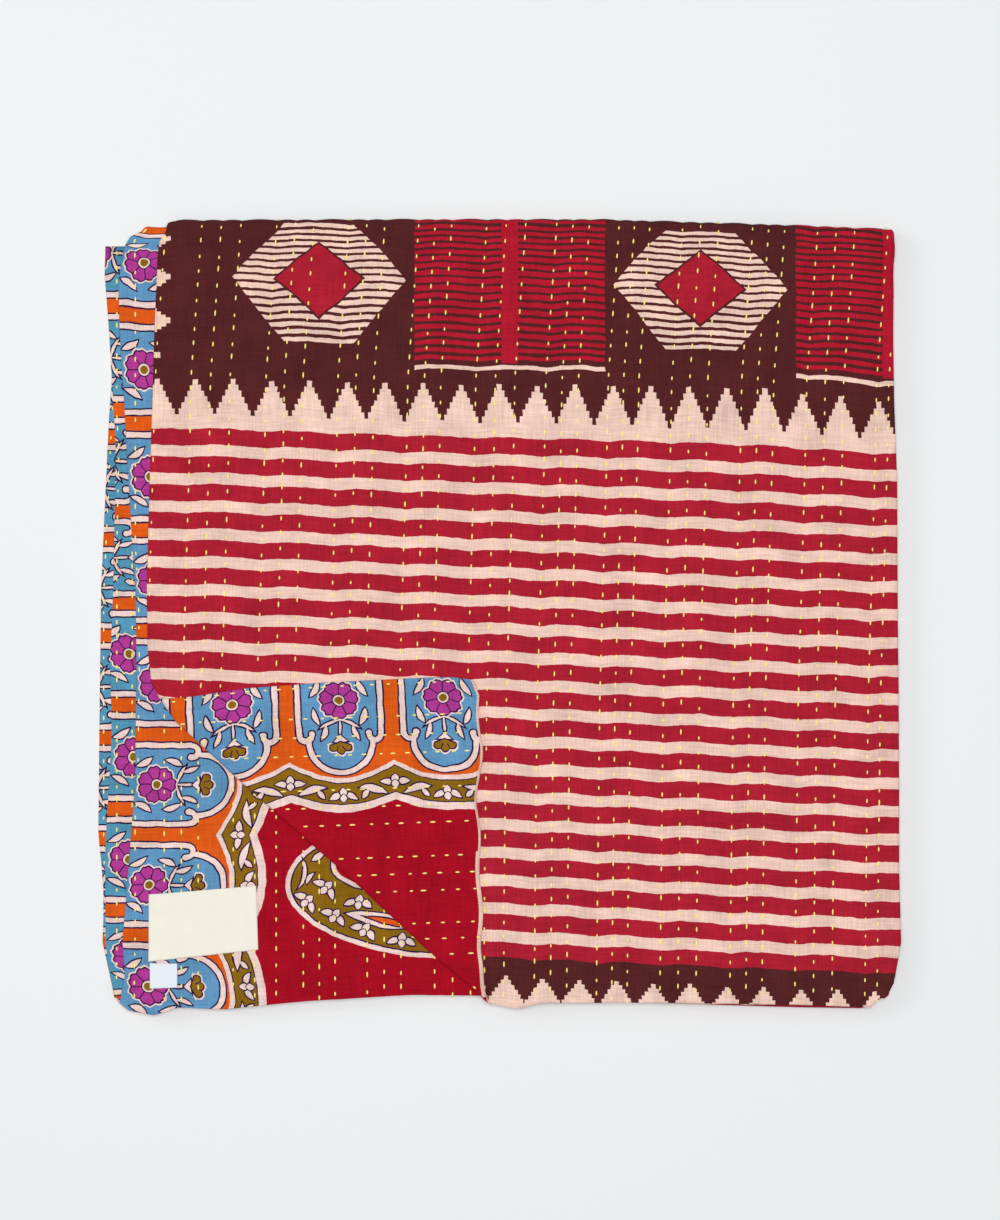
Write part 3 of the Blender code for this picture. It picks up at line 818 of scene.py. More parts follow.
# Striped print, in millimetres right of the middle and down from the far fold
PRINT_LINE = 7.65
LINE_SHARE = 0.335
LINE_THINNING = 0.008
HEXAGON_X = -181.0
HEXAGON_DROP = 58.3
HEXAGON_REPEAT = 381.5
HEXAGON_HALF = 87.0
HEXAGON_NARROWING = 6.3
HEXAGON_LINES = 8.5
DIAMOND_HALF = 43.0
DIAMOND_HEIGHT = 38.0
DIAMOND_OUTLINE = 1.075
BLOCK_FROM = 95.5
BLOCK_BAR_FROM = 182.5
BLOCK_LEFT_X = -120.0
BLOCK_END = 140.2
BLOCK_LINE = (142.2, 146.2)
STRIPES_FROM = 209.7
STRIPE_REPEAT = 27.9
STRIPE_RED = 16.5
BAND_FROM = 727.2

# A row of stepped teeth: where a tip is, the repeat, where the tips are, and the steps' sizes
Teeth = namedtuple("Teeth", "at repeat tip tip_half step step_rise")
SAWTOOTH = Teeth(-342.5, 37.96, 160.2, 2.5, 2.9, 5.85)
HEM_TEETH = Teeth(5.6, 36.9, 746.2, 2.2, 3.1, 4.2)
SIDE_TEETH = Teeth(55.7, 44.3, 329.5, 3.0, 3.0, 4.6)
SIDE_TEETH_END = 122.0
SIDE_STUB = 135.5
SIDE_STUB_TO = -339.5


def stepped_teeth(teeth, across, depth):
    """1 inside a row of teeth that widen step by step with depth."""
    level = ((depth - teeth.tip) / teeth.step_rise).floor()
    half = level * teeth.step + teeth.tip_half
    return (across - teeth.at).fold_back(teeth.repeat / 2) < half


# Pointed leaves of the print: middle in and along, half length, half width, angle and bend
Leaf = namedtuple("Leaf", "at beside half_length half_width angle bend")
INK_LINE = 1.6


def place_in_figure(tree, place, middle, half, angle):
    """Place along the axes of a turned figure, as fields that are 1 at its half sizes."""
    turned = add_node(tree, "ShaderNodeMapping", {"vector_type": "TEXTURE"},
                      {"Vector": place, "Location": (*middle, 0.0),
                       "Rotation": (0.0, 0.0, math.radians(angle)), "Scale": (*half, 1.0)})
    return split_vector(tree, turned.outputs[0])


def pointed_leaf(tree, place, leaf):
    """Distance outside a pointed leaf in millimetres, below 0 inside it."""
    half = (leaf.half_length, leaf.half_width)
    along, across = place_in_figure(tree, place, (leaf.at, leaf.beside), half, leaf.angle)
    square = along * along
    if leaf.bend:
        across = across + (square - 0.5) * leaf.bend
    return (square + abs(across) - 1.0) * leaf.half_width


def ellipse(tree, place, middle, half, angle):
    """Distance outside an ellipse in millimetres, below 0 inside it."""
    x, y = place_in_figure(tree, place, middle, half, angle)
    level = hypotenuse(x, y)
    return level * (level - 1.0) / hypotenuse(x / half[0], y / half[1])


class BlockPrint:
    """A print on cotton, laid ink by ink from its ground colour up."""

    def __init__(self, tree, inks, ground):
        self.tree = tree
        self.inks = inks
        self.colour = inks[ground]

    def ink(self, name, where):
        """Lay an ink where a field is 1."""
        self.colour = paint(self.tree, self.colour, self.inks[name], where)

    def fill(self, name, shape):
        """Fill a shape where its distance is below 0, with a dark line round it."""
        self.ink("indigo", shape < INK_LINE)
        self.ink(name, shape < 0.0)

    def leaves(self, name, place, leaves):
        """Leaves that grow out of each other, with one outline round them all."""
        shape, *others = [pointed_leaf(self.tree, place, leaf) for leaf in leaves]
        for other in others:
            shape = shape.least(other)
        self.fill(name, shape)

    def petals(self, name, place, petals):
        """Petals that lie over each other, each with an outline of its own."""
        for petal in petals:
            self.leaves(name, place, (petal,))


def striped_print(inks):
    """Plain-woven cotton with a block print, washed soft: matt, with a fine even grain."""
    material, tree, surface = new_material("Block-printed cotton, stripes", COTTON_ROUGHNESS)
    place, across, drop = read_print_place(tree, "Striped face")
    block = BlockPrint(tree, inks, "brown")

    line = (drop - HEXAGON_DROP) / PRINT_LINE
    whole_line = (line + 0.5).floor()
    from_middle = abs(whole_line)
    on_line = abs(line - whole_line) < from_middle * -LINE_THINNING + LINE_SHARE
    side = (across - HEXAGON_X).fold_back(HEXAGON_REPEAT / 2)
    hexagon = on_line & (side < abs(line) * -HEXAGON_NARROWING + HEXAGON_HALF)
    block.ink("pink", hexagon & (from_middle < HEXAGON_LINES))
    diamond = side / DIAMOND_HALF + abs(drop - HEXAGON_DROP) / DIAMOND_HEIGHT
    block.ink("brown", diamond < DIAMOND_OUTLINE)
    block.ink("red", diamond < 1.0)

    in_block = (side > BLOCK_FROM) & (across > BLOCK_LEFT_X)
    block.ink("block_red", in_block & (drop < BLOCK_END) & (on_line | (side > BLOCK_BAR_FROM)))
    block.ink("pink", in_block & (drop > BLOCK_LINE[0]) & (drop < BLOCK_LINE[1]))

    side_teeth = stepped_teeth(SIDE_TEETH, drop, across * -1.0) & (drop < SIDE_TEETH_END)
    stub = (abs(drop - SIDE_STUB) < SIDE_TEETH.step) & (across < SIDE_STUB_TO)
    block.ink("pink", side_teeth | stub | stepped_teeth(SAWTOOTH, across, drop))

    stripe = (drop - STRIPES_FROM).apply("FLOORED_MODULO", STRIPE_REPEAT) < STRIPE_RED
    block.ink("red", stripe & (drop > STRIPES_FROM))
    band = drop > BAND_FROM
    block.ink("brown", band)
    block.ink("pink", band & stepped_teeth(HEM_TEETH, across, drop))
    weave(tree, place, surface, block.colour)
    return material


# Reverse print, in millimetres in from the long hem and along it
BAR_HALF_REPEAT = BAR_REPEAT / 2
SECOND_LEAF_FROM = 38.0
SECOND_LEAF_COUNT = 40.0
TEAL_FROM = 8.8
CELL_END = 58.5
CELL_HALF = 37.5
CELL_CORNER = 3.0
LOBE_CENTRE = 66.0
LOBE_RADIUS = 28.0
BAND_MIDDLE = 3.6
BAND_HALF = 2.6
CURL = (58.3, 34.6)
CURL_RADIUS = 8.6
CURL_GAP = 3.3
CURL_TIP = (56.9, 28.4)
CURL_TIP_RADIUS = 3.1
FLOWER_AT = 22.5
PETALS = 7
PETAL_INNER = 15.6
PETAL_OUTER = 3.4
PETAL_NOTCH_FROM = 0.9
PETAL_NOTCH = 14.0
PETAL_LINE = 1.9
EYE_RINGS = (6.7, 5.6, 4.0)
HALO = 3.2
BUD_AT = 65.5
BUD_INNER = 10.0
BUD_LOBE = 2.8
BUD_TURN = 3.75
BUD_BASE_SLANT = 0.4
BUD_BASE_SHORT = 0.5
BUD_FOLD_LINE = 2.0
BUD_FOLD_FROM = 5.0
CALYX_AT = 58.5
CALYX_SPREAD = 0.95
VINE_FROM = (86.5, 17.7)
VINE_TO = (119.0, 12.5)
VINE_EDGES = (-0.6, 4.3, 5.5)
VINE_INNER_EDGES = (-0.8, 0.4, 8.2)

CELL_LEAVES = (
    Leaf(9.9, 23.0, 9.5, 2.9, 29.0, -0.5),
    Leaf(39.7, 23.5, 9.0, 2.7, -20.0, 0.5),
    Leaf(56.2, 15.6, 8.5, 2.3, 19.0, -0.5),
    Leaf(46.6, 10.8, 9.8, 1.4, 66.0, 0.8),
    Leaf(51.5, 0.0, 10.5, 1.2, 0.0, 0.0),
)
VINE_SCROLL = (
    Leaf(116.0, 21.5, 14.0, 3.4, 104.0, 0.7),
    Leaf(120.5, 30.0, 5.5, 2.3, 40.0, 0.0),
)

# A lily: its side petals, and how far forward its middle petal and its bulb are, with their sizes
LILY_PETAL = Leaf(-1.2, 7.4, 7.4, 3.0, 90.0, -0.35)
LILY_MIDDLES = ((2.6, 5.0, 3.5), (-3.4, 4.2, 3.4))


def lily(at, beside, angle, sweep, sides=(1, -1)):
    """A lily of side petals, a middle petal and the bulb under it, facing along an angle."""
    facing = math.radians(angle)
    forward = (math.cos(facing), math.sin(facing))
    petals = []
    for side in sides:
        across = LILY_PETAL.beside * side
        petals.append(Leaf(at + LILY_PETAL.at * forward[0] - across * forward[1],
                           beside + LILY_PETAL.at * forward[1] + across * forward[0],
                           LILY_PETAL.half_length, LILY_PETAL.half_width,
                           angle + side * (LILY_PETAL.angle + sweep), LILY_PETAL.bend * side))
    for step, half_length, half_width in LILY_MIDDLES:
        petals.append(Leaf(at + step * forward[0], beside + step * forward[1],
                           half_length, half_width, angle, 0.0))
    return petals


VINE_LILIES = lily(107.5, 0.0, 180.0, -10.0, (-1,)) + lily(121.5, BAR_HALF_REPEAT, 180.0, 24.0, (1,))


def distance_to(inside, beside, middle):
    """Distance from a point."""
    return hypotenuse(inside - middle[0], beside - middle[1])


def cell_outline(inside, beside):
    """Distance outside a cell of the border, and outside the cream band and curl round it."""
    past_end = (inside - (CELL_END - CELL_CORNER)).most(0.0)
    past_side = (beside - (CELL_HALF - CELL_CORNER)).most(0.0)
    straight = (inside - CELL_END).most(beside - CELL_HALF).least(0.0)
    box = (hypotenuse(past_end, past_side) - CELL_CORNER).most(straight)
    cell = box.least(distance_to(inside, beside, (LOBE_CENTRE, 0.0)) - LOBE_RADIUS)
    curl = distance_to(inside, beside, CURL) - CURL_RADIUS
    gap = hypotenuse((inside - CURL[0]).most(0.0), beside - CURL[1]) - CURL_GAP
    tip = distance_to(inside, beside, CURL_TIP) - CURL_TIP_RADIUS
    hook = curl.most(inside * -1.0 + CURL_TIP[0]).least(tip)
    band = (abs(cell - BAND_MIDDLE) - BAND_HALF).least(hook)
    return cell, curl, band.most(gap * -1.0)


def ringed_flower(block, inside, beside):
    """A round flower with notched petals, a halo round it and a ringed eye."""
    from_eye = inside - FLOWER_AT
    radius = hypotenuse(from_eye, beside)
    petal = abs((beside.apply("ARCTAN2", from_eye) * (PETALS / 2)).apply("COSINE"))
    notch = (petal - PETAL_NOTCH_FROM).most(0.0) * PETAL_NOTCH
    reach = petal * PETAL_OUTER + PETAL_INNER - notch
    block.ink("cream", radius < reach + HALO)
    block.ink("indigo", radius < reach + INK_LINE)
    block.ink("magenta", radius < reach)
    block.ink("indigo", (petal * radius < PETAL_LINE) & (radius < reach))
    for ring, ink in zip(EYE_RINGS, ("indigo", "cream", "olive")):
        block.ink(ink, radius < ring)


def lobed_bud(block, inside, beside):
    """A half-open bud with lobes, a halo round it and a calyx under it."""
    from_base = inside - BUD_AT
    radius = hypotenuse(from_base, beside)
    lobe = abs((beside.apply("ARCTAN2", from_base) * BUD_TURN).apply("COSINE"))
    base = abs(beside) * BUD_BASE_SLANT - from_base + BUD_BASE_SHORT
    bud = (radius - lobe * BUD_LOBE - BUD_INNER).most(base)
    block.ink("cream", bud < HALO)
    block.fill("cream", (abs(beside) - (inside - CALYX_AT) * CALYX_SPREAD).most(from_base))
    block.fill("olive", bud)
    fold = (lobe * radius < BUD_FOLD_LINE) & (radius > BUD_FOLD_FROM) & (bud < 0.0)
    block.ink("indigo", fold)


def flower_border_print(inks):
    """The same cotton, printed in more colours with dark outlines: matt and a little uneven."""
    material, tree, surface = new_material("Block-printed cotton, flower border", COTTON_ROUGHNESS)
    place, inside, along = read_print_place(tree, "Reverse face")
    beside = along.fold_back(BAR_HALF_REPEAT) * -1.0 + BAR_HALF_REPEAT
    cell_place = join_fields(tree, inside, beside)
    bar_place = join_fields(tree, inside, beside * -1.0 + BAR_HALF_REPEAT)

    count = along / BAR_REPEAT
    lower_leaf = (count - (count > SECOND_LEAF_FROM) * SECOND_LEAF_COUNT) > TEAL_FROM
    inks = dict(inks, cell=paint(tree, inks["blue"], inks["teal"], lower_leaf))
    block = BlockPrint(tree, inks, "orange")
    cell, curl, band = cell_outline(inside, beside)
    block.ink("cell", (cell < BAND_MIDDLE) | (curl < 0.0))
    block.fill("cream", band)
    block.leaves("cream", cell_place, CELL_LEAVES)
    ringed_flower(block, inside, beside)
    lobed_bud(block, inside, beside)

    wave = abs((along * (math.pi / BAR_REPEAT)).apply("SINE"))
    outer = inside - (wave * VINE_FROM[1] + VINE_FROM[0])
    for edge, ink in zip(VINE_EDGES, ("cream", "indigo", "olive")):
        block.ink(ink, outer > edge)
    block.leaves("cream", bar_place, VINE_SCROLL)
    block.petals("cream", bar_place, VINE_LILIES)
    inner = inside - (wave * VINE_TO[1] + VINE_TO[0])
    for edge, ink in zip(VINE_INNER_EDGES, ("indigo", "cream", "field_red")):
        block.ink(ink, inner > edge)
    weave(tree, place, surface, block.colour)
    return material


# Leaf-shaped figure of the reverse print: middles, half sizes and angles of its two ellipses
PAISLEY_MIDDLE = (318.7, 152.6)
PAISLEY_HALF = (159.7, 72.3)
PAISLEY_ANGLE = -3.1
PAISLEY_INNER_MIDDLE = (268.0, 181.3)
PAISLEY_INNER_HALF = (66.2, 32.7)
PAISLEY_INNER_ANGLE = 4.1
PAISLEY_EDGE = 4.6
PAISLEY_SWEEP = 20.0
PAISLEY_LILIES = (
    (182.3, 139.8, 45.0), (200.7, 153.6, 50.0), (211.1, 124.8, 60.0),
    (234.2, 138.6, 85.0), (242.3, 109.8, 60.0), (280.4, 99.4, 85.0),
)
PAISLEY_SCROLL = (
    Leaf(190.3, 185.9, 8.0, 3.2, 36.0, 0.0),
    Leaf(176.0, 167.0, 14.0, 1.8, 84.0, -2.2),
    Leaf(183.5, 163.5, 6.5, 2.2, 60.0, 0.5),
)
PAISLEY_HOOK = Leaf(257.5, 120.0, 36.0, 7.0, -12.0, 0.0)
PAISLEY_HOOK_RED = Leaf(271.0, 117.5, 28.0, 2.4, -12.0, 0.0)


def field_print(inks):
    """The plain red middle of the reverse, with one leaf-shaped figure: matt cotton."""
    material, tree, surface = new_material("Block-printed cotton, red field", COTTON_ROUGHNESS)
    place, inside, along = read_print_place(tree, "Reverse face")
    figure_place = join_fields(tree, inside, along - SECOND_LEAF_COUNT * BAR_REPEAT)
    outer = ellipse(tree, figure_place, PAISLEY_MIDDLE, PAISLEY_HALF, PAISLEY_ANGLE)
    inner = ellipse(tree, figure_place, PAISLEY_INNER_MIDDLE, PAISLEY_INNER_HALF, PAISLEY_INNER_ANGLE)
    block = BlockPrint(tree, inks, "field_red")
    block.ink("cream", outer < 0.0)
    block.fill("olive", outer + PAISLEY_EDGE + INK_LINE)
    block.leaves("cream", figure_place, PAISLEY_SCROLL)
    block.petals("cream", figure_place, (PAISLEY_HOOK,))
    block.petals("orange", figure_place, (PAISLEY_HOOK_RED,))
    for at, beside, angle in PAISLEY_LILIES:
        block.petals("cream", figure_place, lily(at, beside, angle, PAISLEY_SWEEP))
    block.fill("cream", inner + INK_LINE)
    block.ink("field_red", inner < -PAISLEY_EDGE - INK_LINE)
    weave(tree, place, surface, block.colour)
    return material


# The hem's slanting turns with the painted shade of the grooves between them, and the thread's and the
# labels' small shades and reliefs
HEM_ROUGHNESS = 0.9
HEM_TURNS = (2.1, 1.3)
# Colour of the painted shade in the grooves between the hem's turns, and its greatest share
HEM_PAINTED_SHADE = linear("#d2a896")
HEM_PAINTED_SHADE_SHARE = 0.35
THREAD_ROUGHNESS = 0.7
THREAD_SHADES = (0.97, 1.15)
THREAD_CLOUD_SCALE = 140.0
TWIST_SCALE = 260.0
TWIST_DEPTH = 0.0003
LABEL_CLOUD_SCALE = 60.0
TAPE_SHADE = 0.05
TAPE_CLOUD_SHADE = 0.08
TAPE_DARKEST = 0.93
TAPE_DEPTH = 0.0002
FINE_STRENGTH = 0.3
PAPER_ROUGHNESS = 0.95
PAPER_CLOUD_SCALE = 1.5
PAPER_SHADE = 0.01


def rolled_hem_cotton(inks):
    """Hem rolled and whipped by hand: undyed cotton with slanting turns of thread, and painted shade in
    darker bands along the grooves between the turns.
    """
    material, tree, surface = new_material("Hand-rolled cotton hem", HEM_ROUGHNESS)
    place, inside, along = read_print_place(tree, "Reverse face")
    # The darker bands along the turns are painted shade of the grooves between them
    turns = (inside * HEM_TURNS[0] + along * HEM_TURNS[1]).apply("SINE")
    colour = paint(tree, inks["pink"], HEM_PAINTED_SHADE, (turns + 1.0) * HEM_PAINTED_SHADE_SHARE)
    weave(tree, place, surface, colour)
    return material


def thread_cotton(inks):
    """Thick embroidery cotton, lightly twisted: soft, with a faint sheen."""
    material, tree, surface = new_material("Twisted embroidery cotton", THREAD_ROUGHNESS)
    place = object_place(tree)
    low, high = THREAD_SHADES
    shade = noise_field(tree, place, THREAD_CLOUD_SCALE, 1.0, "3D") * (high - low) + low
    twist = add_node(tree, "ShaderNodeTexWave", {"bands_direction": "DIAGONAL"},
                     {"Vector": place, "Scale": TWIST_SCALE})
    cover(tree, surface, inks["thread"], shade,
          bump(tree, twist.outputs["Fac"], FINE_STRENGTH, TWIST_DEPTH))
    return material


def label_cloth(name, colour, roughness, thread_pitch):
    """Narrow woven label tape: close even threads, cut and folded clean."""
    material, tree, surface = new_material(name, roughness)
    place = object_place(tree)
    turns = 2 * math.pi / thread_pitch
    across, up = [(side * turns).apply("SINE") for side in split_vector(tree, place)]
    height = across * up * 0.5 + 0.5
    cloud = noise_field(tree, place, LABEL_CLOUD_SCALE, 3.0, "3D")
    shade = height * TAPE_SHADE + cloud * TAPE_CLOUD_SHADE + TAPE_DARKEST
    cover(tree, surface, colour, shade, bump(tree, height, FINE_STRENGTH, TAPE_DEPTH))
    return material


def seamless_paper(colour):
    """Matt photographer's paper, with no grain that shows."""
    material, tree, surface = new_material("Matt seamless paper", PAPER_ROUGHNESS)
    place = object_place(tree)
    cloud = noise_field(tree, place, PAPER_CLOUD_SCALE, 2.0, "3D")
    cover(tree, surface, colour, (cloud - 0.5) * PAPER_SHADE + 1.0)
    return material


def length(name, description, default, lowest, highest):
    """A length that the panel can change."""
    return FloatProperty(name=name, description=description, default=default,
                         min=lowest, max=highest, unit="LENGTH")


def dye(name, description, hex_colour):
    """A colour that the panel can change."""
    return FloatVectorProperty(name=name, description=description, size=3, subtype="COLOR",
                               min=0.0, max=1.0, default=linear(hex_colour))


class ThrowSizes(bpy.types.PropertyGroup):
    """Sizes of the cloth, its quilting and its stitches."""

    thickness: length("Cloth thickness", "Thickness of the layered cotton", 0.0020, 0.0005, 0.003)
    hem_thickness: length("Hem thickness", "Thickness of the rolled hem", 0.0030, 0.001, 0.005)
    ridge_height: length("Ridge height", "Height of the soft ridges between stitch lines",
                         0.0014, 0.0, 0.003)
    wave_height: length("Unevenness", "Height of the cloth's soft waves", 0.0006, 0.0, 0.002)
    stitch_pitch: length("Stitch pitch", "Distance from one running stitch to the next",
                         0.0147, 0.005, 0.05)
    stitch_length: length("Stitch length", "Longest length of thread that shows",
                          0.0063, 0.002, 0.02)
    thread_width: length("Thread width", "Width of the embroidery thread", 0.0019, 0.0005, 0.005)
    seed: IntProperty(
        name="Seed", description="Start of the random numbers that vary the stitches",
        default=7, min=0)


class ThrowColours(bpy.types.PropertyGroup):
    """Colours of the two prints, the thread and the labels."""

    red: dye("Red", "Red of the stripes", "#ac1e31")
    block_red: dye("Block red", "Red of the lined blocks", "#b2182e")
    field_red: dye("Field red", "Red of the reverse", "#a60a20")
    brown: dye("Brown", "Dark brown ground of the striped face", "#542223")
    pink: dye("Pink", "Pale pink of the striped face", "#eecabb")
    blue: dye("Blue", "Blue cells of the flower border", "#5f93bb")
    teal: dye("Teal", "Greener blue of the lower leaves' border", "#5495b4")
    orange: dye("Orange", "Orange ground of the flower border", "#dc5a16")
    olive: dye("Olive", "Olive ground of the vine", "#8a6410")
    magenta: dye("Magenta", "Petals of the flowers", "#b03a92")
    indigo: dye("Indigo", "Outlines of the flower border", "#2d1640")
    cream: dye("Cream", "Leaves and edges of the flower border", "#ecd0ca")
    thread: dye("Thread", "Yellow embroidery thread", "#ffef8a")
    label: dye("Label", "Sewn cotton label", "#f3f0e2")
    care_label: dye("Care label", "Satin care label", "#eaf0f8")
    floor: dye("Floor", "Paper that the throw lies on", "#eff2f3")


def read_inks(context):
    """The scene's colours, by name."""
    colours = context.scene.throw_colours
    return {name: tuple(getattr(colours, name)) for name in ThrowColours.__annotations__}


def mesh_data(name, mesh):
    """Turn a mesh under construction into a mesh of its own, and free it."""
    data = bpy.data.meshes.new(name)
    mesh.to_mesh(data)
    mesh.free()
    return data


def add_piece(name, mesh, materials):
    """Put a mesh in the scene as a piece at the origin."""
    piece = bpy.data.objects.new(name, mesh)
    for material in materials:
        piece.data.materials.append(material)
    bpy.context.scene.collection.objects.link(piece)
    return piece


def thicken(piece, thickness):
    """Give a sheet its thickness, half on each side."""
    solidify = piece.modifiers.new("Thickness", "SOLIDIFY")
    solidify.thickness = thickness
    solidify.offset = 0.0
    return solidify


def settle(piece):
    """Turn a piece and its modifiers into a plain mesh."""
    depsgraph = bpy.context.evaluated_depsgraph_get()
    mesh = bpy.data.meshes.new_from_object(piece.evaluated_get(depsgraph))
    piece.modifiers.clear()
    piece.data = mesh
    return mesh


def cut_line(mesh, point, normal, wanted):
    """Add a line of points where a plane crosses the wanted faces of the flat sheet."""
    faces = [face for face in mesh.faces if wanted(face.calc_center_median())]
    edges = list({edge for face in faces for edge in face.edges})
    points = list({vertex for edge in edges for vertex in edge.verts})
    bmesh.ops.bisect_plane(mesh, geom=points + edges + faces, dist=TINY, plane_co=point, plane_no=normal)


def in_first_leaf(centre):
    """Whether a flat point is in the first leaf of the top panel."""
    along = centre.y - LOWER_HEM_Y
    return along < TOP_END and centre.x < fold_at(along)


def leaf_at(flat_x, along):
    """Which leaf a flat point is in."""
    past_fold = flat_x - fold_at(along)
    if past_fold <= TINY:
        return "first"
    return "bend" if past_fold < SIDE_BEND - TINY else "second"


# Thickness of the cloth from its rolled hem inwards, as a share of the hem's
HEM_WEIGHTS = (
    Edge(0.0, 0.45), Edge(0.0008, 0.80), Edge(0.0022, 1.0), Edge(0.0040, 0.92),
    Edge(0.0058, 0.72), Edge(0.0078, 0.667),
)
ROLLED_WIDTH = 0.004
ROLLED_WIDTH_ABOVE = 0.0024
ROLLED_WIDE_FROM = -0.165


def flat_cloth(sizes):
    """The flat cloth as a grid, with its two UV maps and its hem's thickness."""
    columns, rows = list_columns(), list_rows()
    mesh = bmesh.new()
    bmesh.ops.create_grid(mesh, x_segments=len(columns) - 1, y_segments=len(rows) - 1, size=0.5)
    for vertex in mesh.verts:
        column = columns[round((vertex.co.x + 0.5) * (len(columns) - 1))]
        row = rows[round((vertex.co.y + 0.5) * (len(rows) - 1))]
        vertex.co.x, vertex.co.y = place_on_sheet(column, row)

    for step in range(CREASE_STEPS + 1):
        offset = CREASE_ROLL * step / CREASE_STEPS
        point = (CREASE_LEFT[0] + offset * CREASE_OUT[0], CREASE_LEFT[1] + offset * CREASE_OUT[1], 0)
        cut_line(mesh, point, (*CREASE_OUT, 0), in_first_leaf)

    hems = mesh.faces.layers.int.new("Rolled hem")
    for face in mesh.faces:
        centre = face.calc_center_median()
        past_hem = centre.y - first_lower_hem(centre.x)
        rolled = ROLLED_WIDTH if centre.x > ROLLED_WIDE_FROM else ROLLED_WIDTH_ABOVE
        if past_hem < rolled and centre.x < CREASE_RIGHT[0]:
            face[hems] = 1
    striped = mesh.loops.layers.uv.new("Striped face")
    reverse = mesh.loops.layers.uv.new("Reverse face")
    weights = mesh.verts.layers.deform.verify()
    for vertex in mesh.verts:
        flat_x, print_along = vertex.co.x, vertex.co.y - LOWER_HEM_Y
        along = max(print_along, 0.0)
        leaf = leaf_at(flat_x, along)
        across = flat_x if leaf == "first" else 2 * fold_at(along) - flat_x
        lower = first_lower_hem(flat_x) if leaf == "first" else LOWER_HEM_Y
        distance = min(hem_distance(leaf, flat_x, along), max(vertex.co.y - lower, 0.0),
                       CLOTH_LENGTH - along)
        hem_share = max(min(distance, HEM_WEIGHTS[-1].x), 0.0)
        vertex[weights][0] = read_table(HEM_WEIGHTS, hem_share, "y")
        striped_uv = striped_place(across if leaf == "second" else flat_x, print_along)
        if leaf == "first" and along < TOP_END:
            print_x, print_y = clear_of_bow(flat_x, vertex.co.y, -1)
            reverse_uv = reverse_place(leaf, print_x, print_y - LOWER_HEM_Y)
        else:
            reverse_uv = reverse_place(leaf, flat_x, print_along)
        for loop in vertex.link_loops:
            loop[striped].uv = striped_uv
            loop[reverse].uv = reverse_uv
    for vertex in mesh.verts:
        vertex.co = fold_sheet(vertex.co.x, vertex.co.y, sizes)
    return mesh


# Places in the cloth's list of materials, after that of the striped print
BORDER, EDGE, FIELD, ROLLED = range(1, 5)
BORDER_WIDTH = 0.146


def share_out_materials(mesh):
    """Give each face of the cloth the material of its side and its place in the print."""
    reverse = mesh.uv_layers["Reverse face"].data
    hems = mesh.attributes["Rolled hem"].data
    for face in mesh.polygons:
        if face.material_index == BORDER:
            inside = reverse[face.loop_start].uv.x
            if hems[face.index].value:
                face.material_index = ROLLED
            elif inside > BORDER_WIDTH:
                face.material_index = FIELD
        elif face.material_index == EDGE:
            face.material_index = ROLLED


class THROW_OT_fold_cloth(bpy.types.Operator):
    """Fold the printed cloth and lay it on the floor"""

    bl_idname = "throw.fold_cloth"
    bl_label = "Fold the cloth"

    def execute(self, context):
        sizes = context.scene.throw_sizes
        inks = read_inks(context)
        hem = rolled_hem_cotton(inks)
        materials = (striped_print(inks), flower_border_print(inks), hem, field_print(inks), hem)
        piece = add_piece("throw_cloth", mesh_data("throw_cloth", flat_cloth(sizes)), materials)
        piece.vertex_groups.new(name="Thickness")
        solidify = thicken(piece, sizes.hem_thickness)
        solidify.use_quality_normals = True
        solidify.vertex_group = "Thickness"
        solidify.material_offset = BORDER
        solidify.material_offset_rim = EDGE
        mesh = settle(piece)
        share_out_materials(mesh)
        mesh.shade_smooth()
        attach(piece, BODY)
        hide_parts("throw")
        return {"FINISHED"}


# How far a stitch strays along its row, its least share of the longest length, and its beads
STITCH_SLIP = 0.0020
SHORTEST_SHARE = 0.55
BEAD = {"Segments": 6, "Rings": 5, "Radius": 0.5}


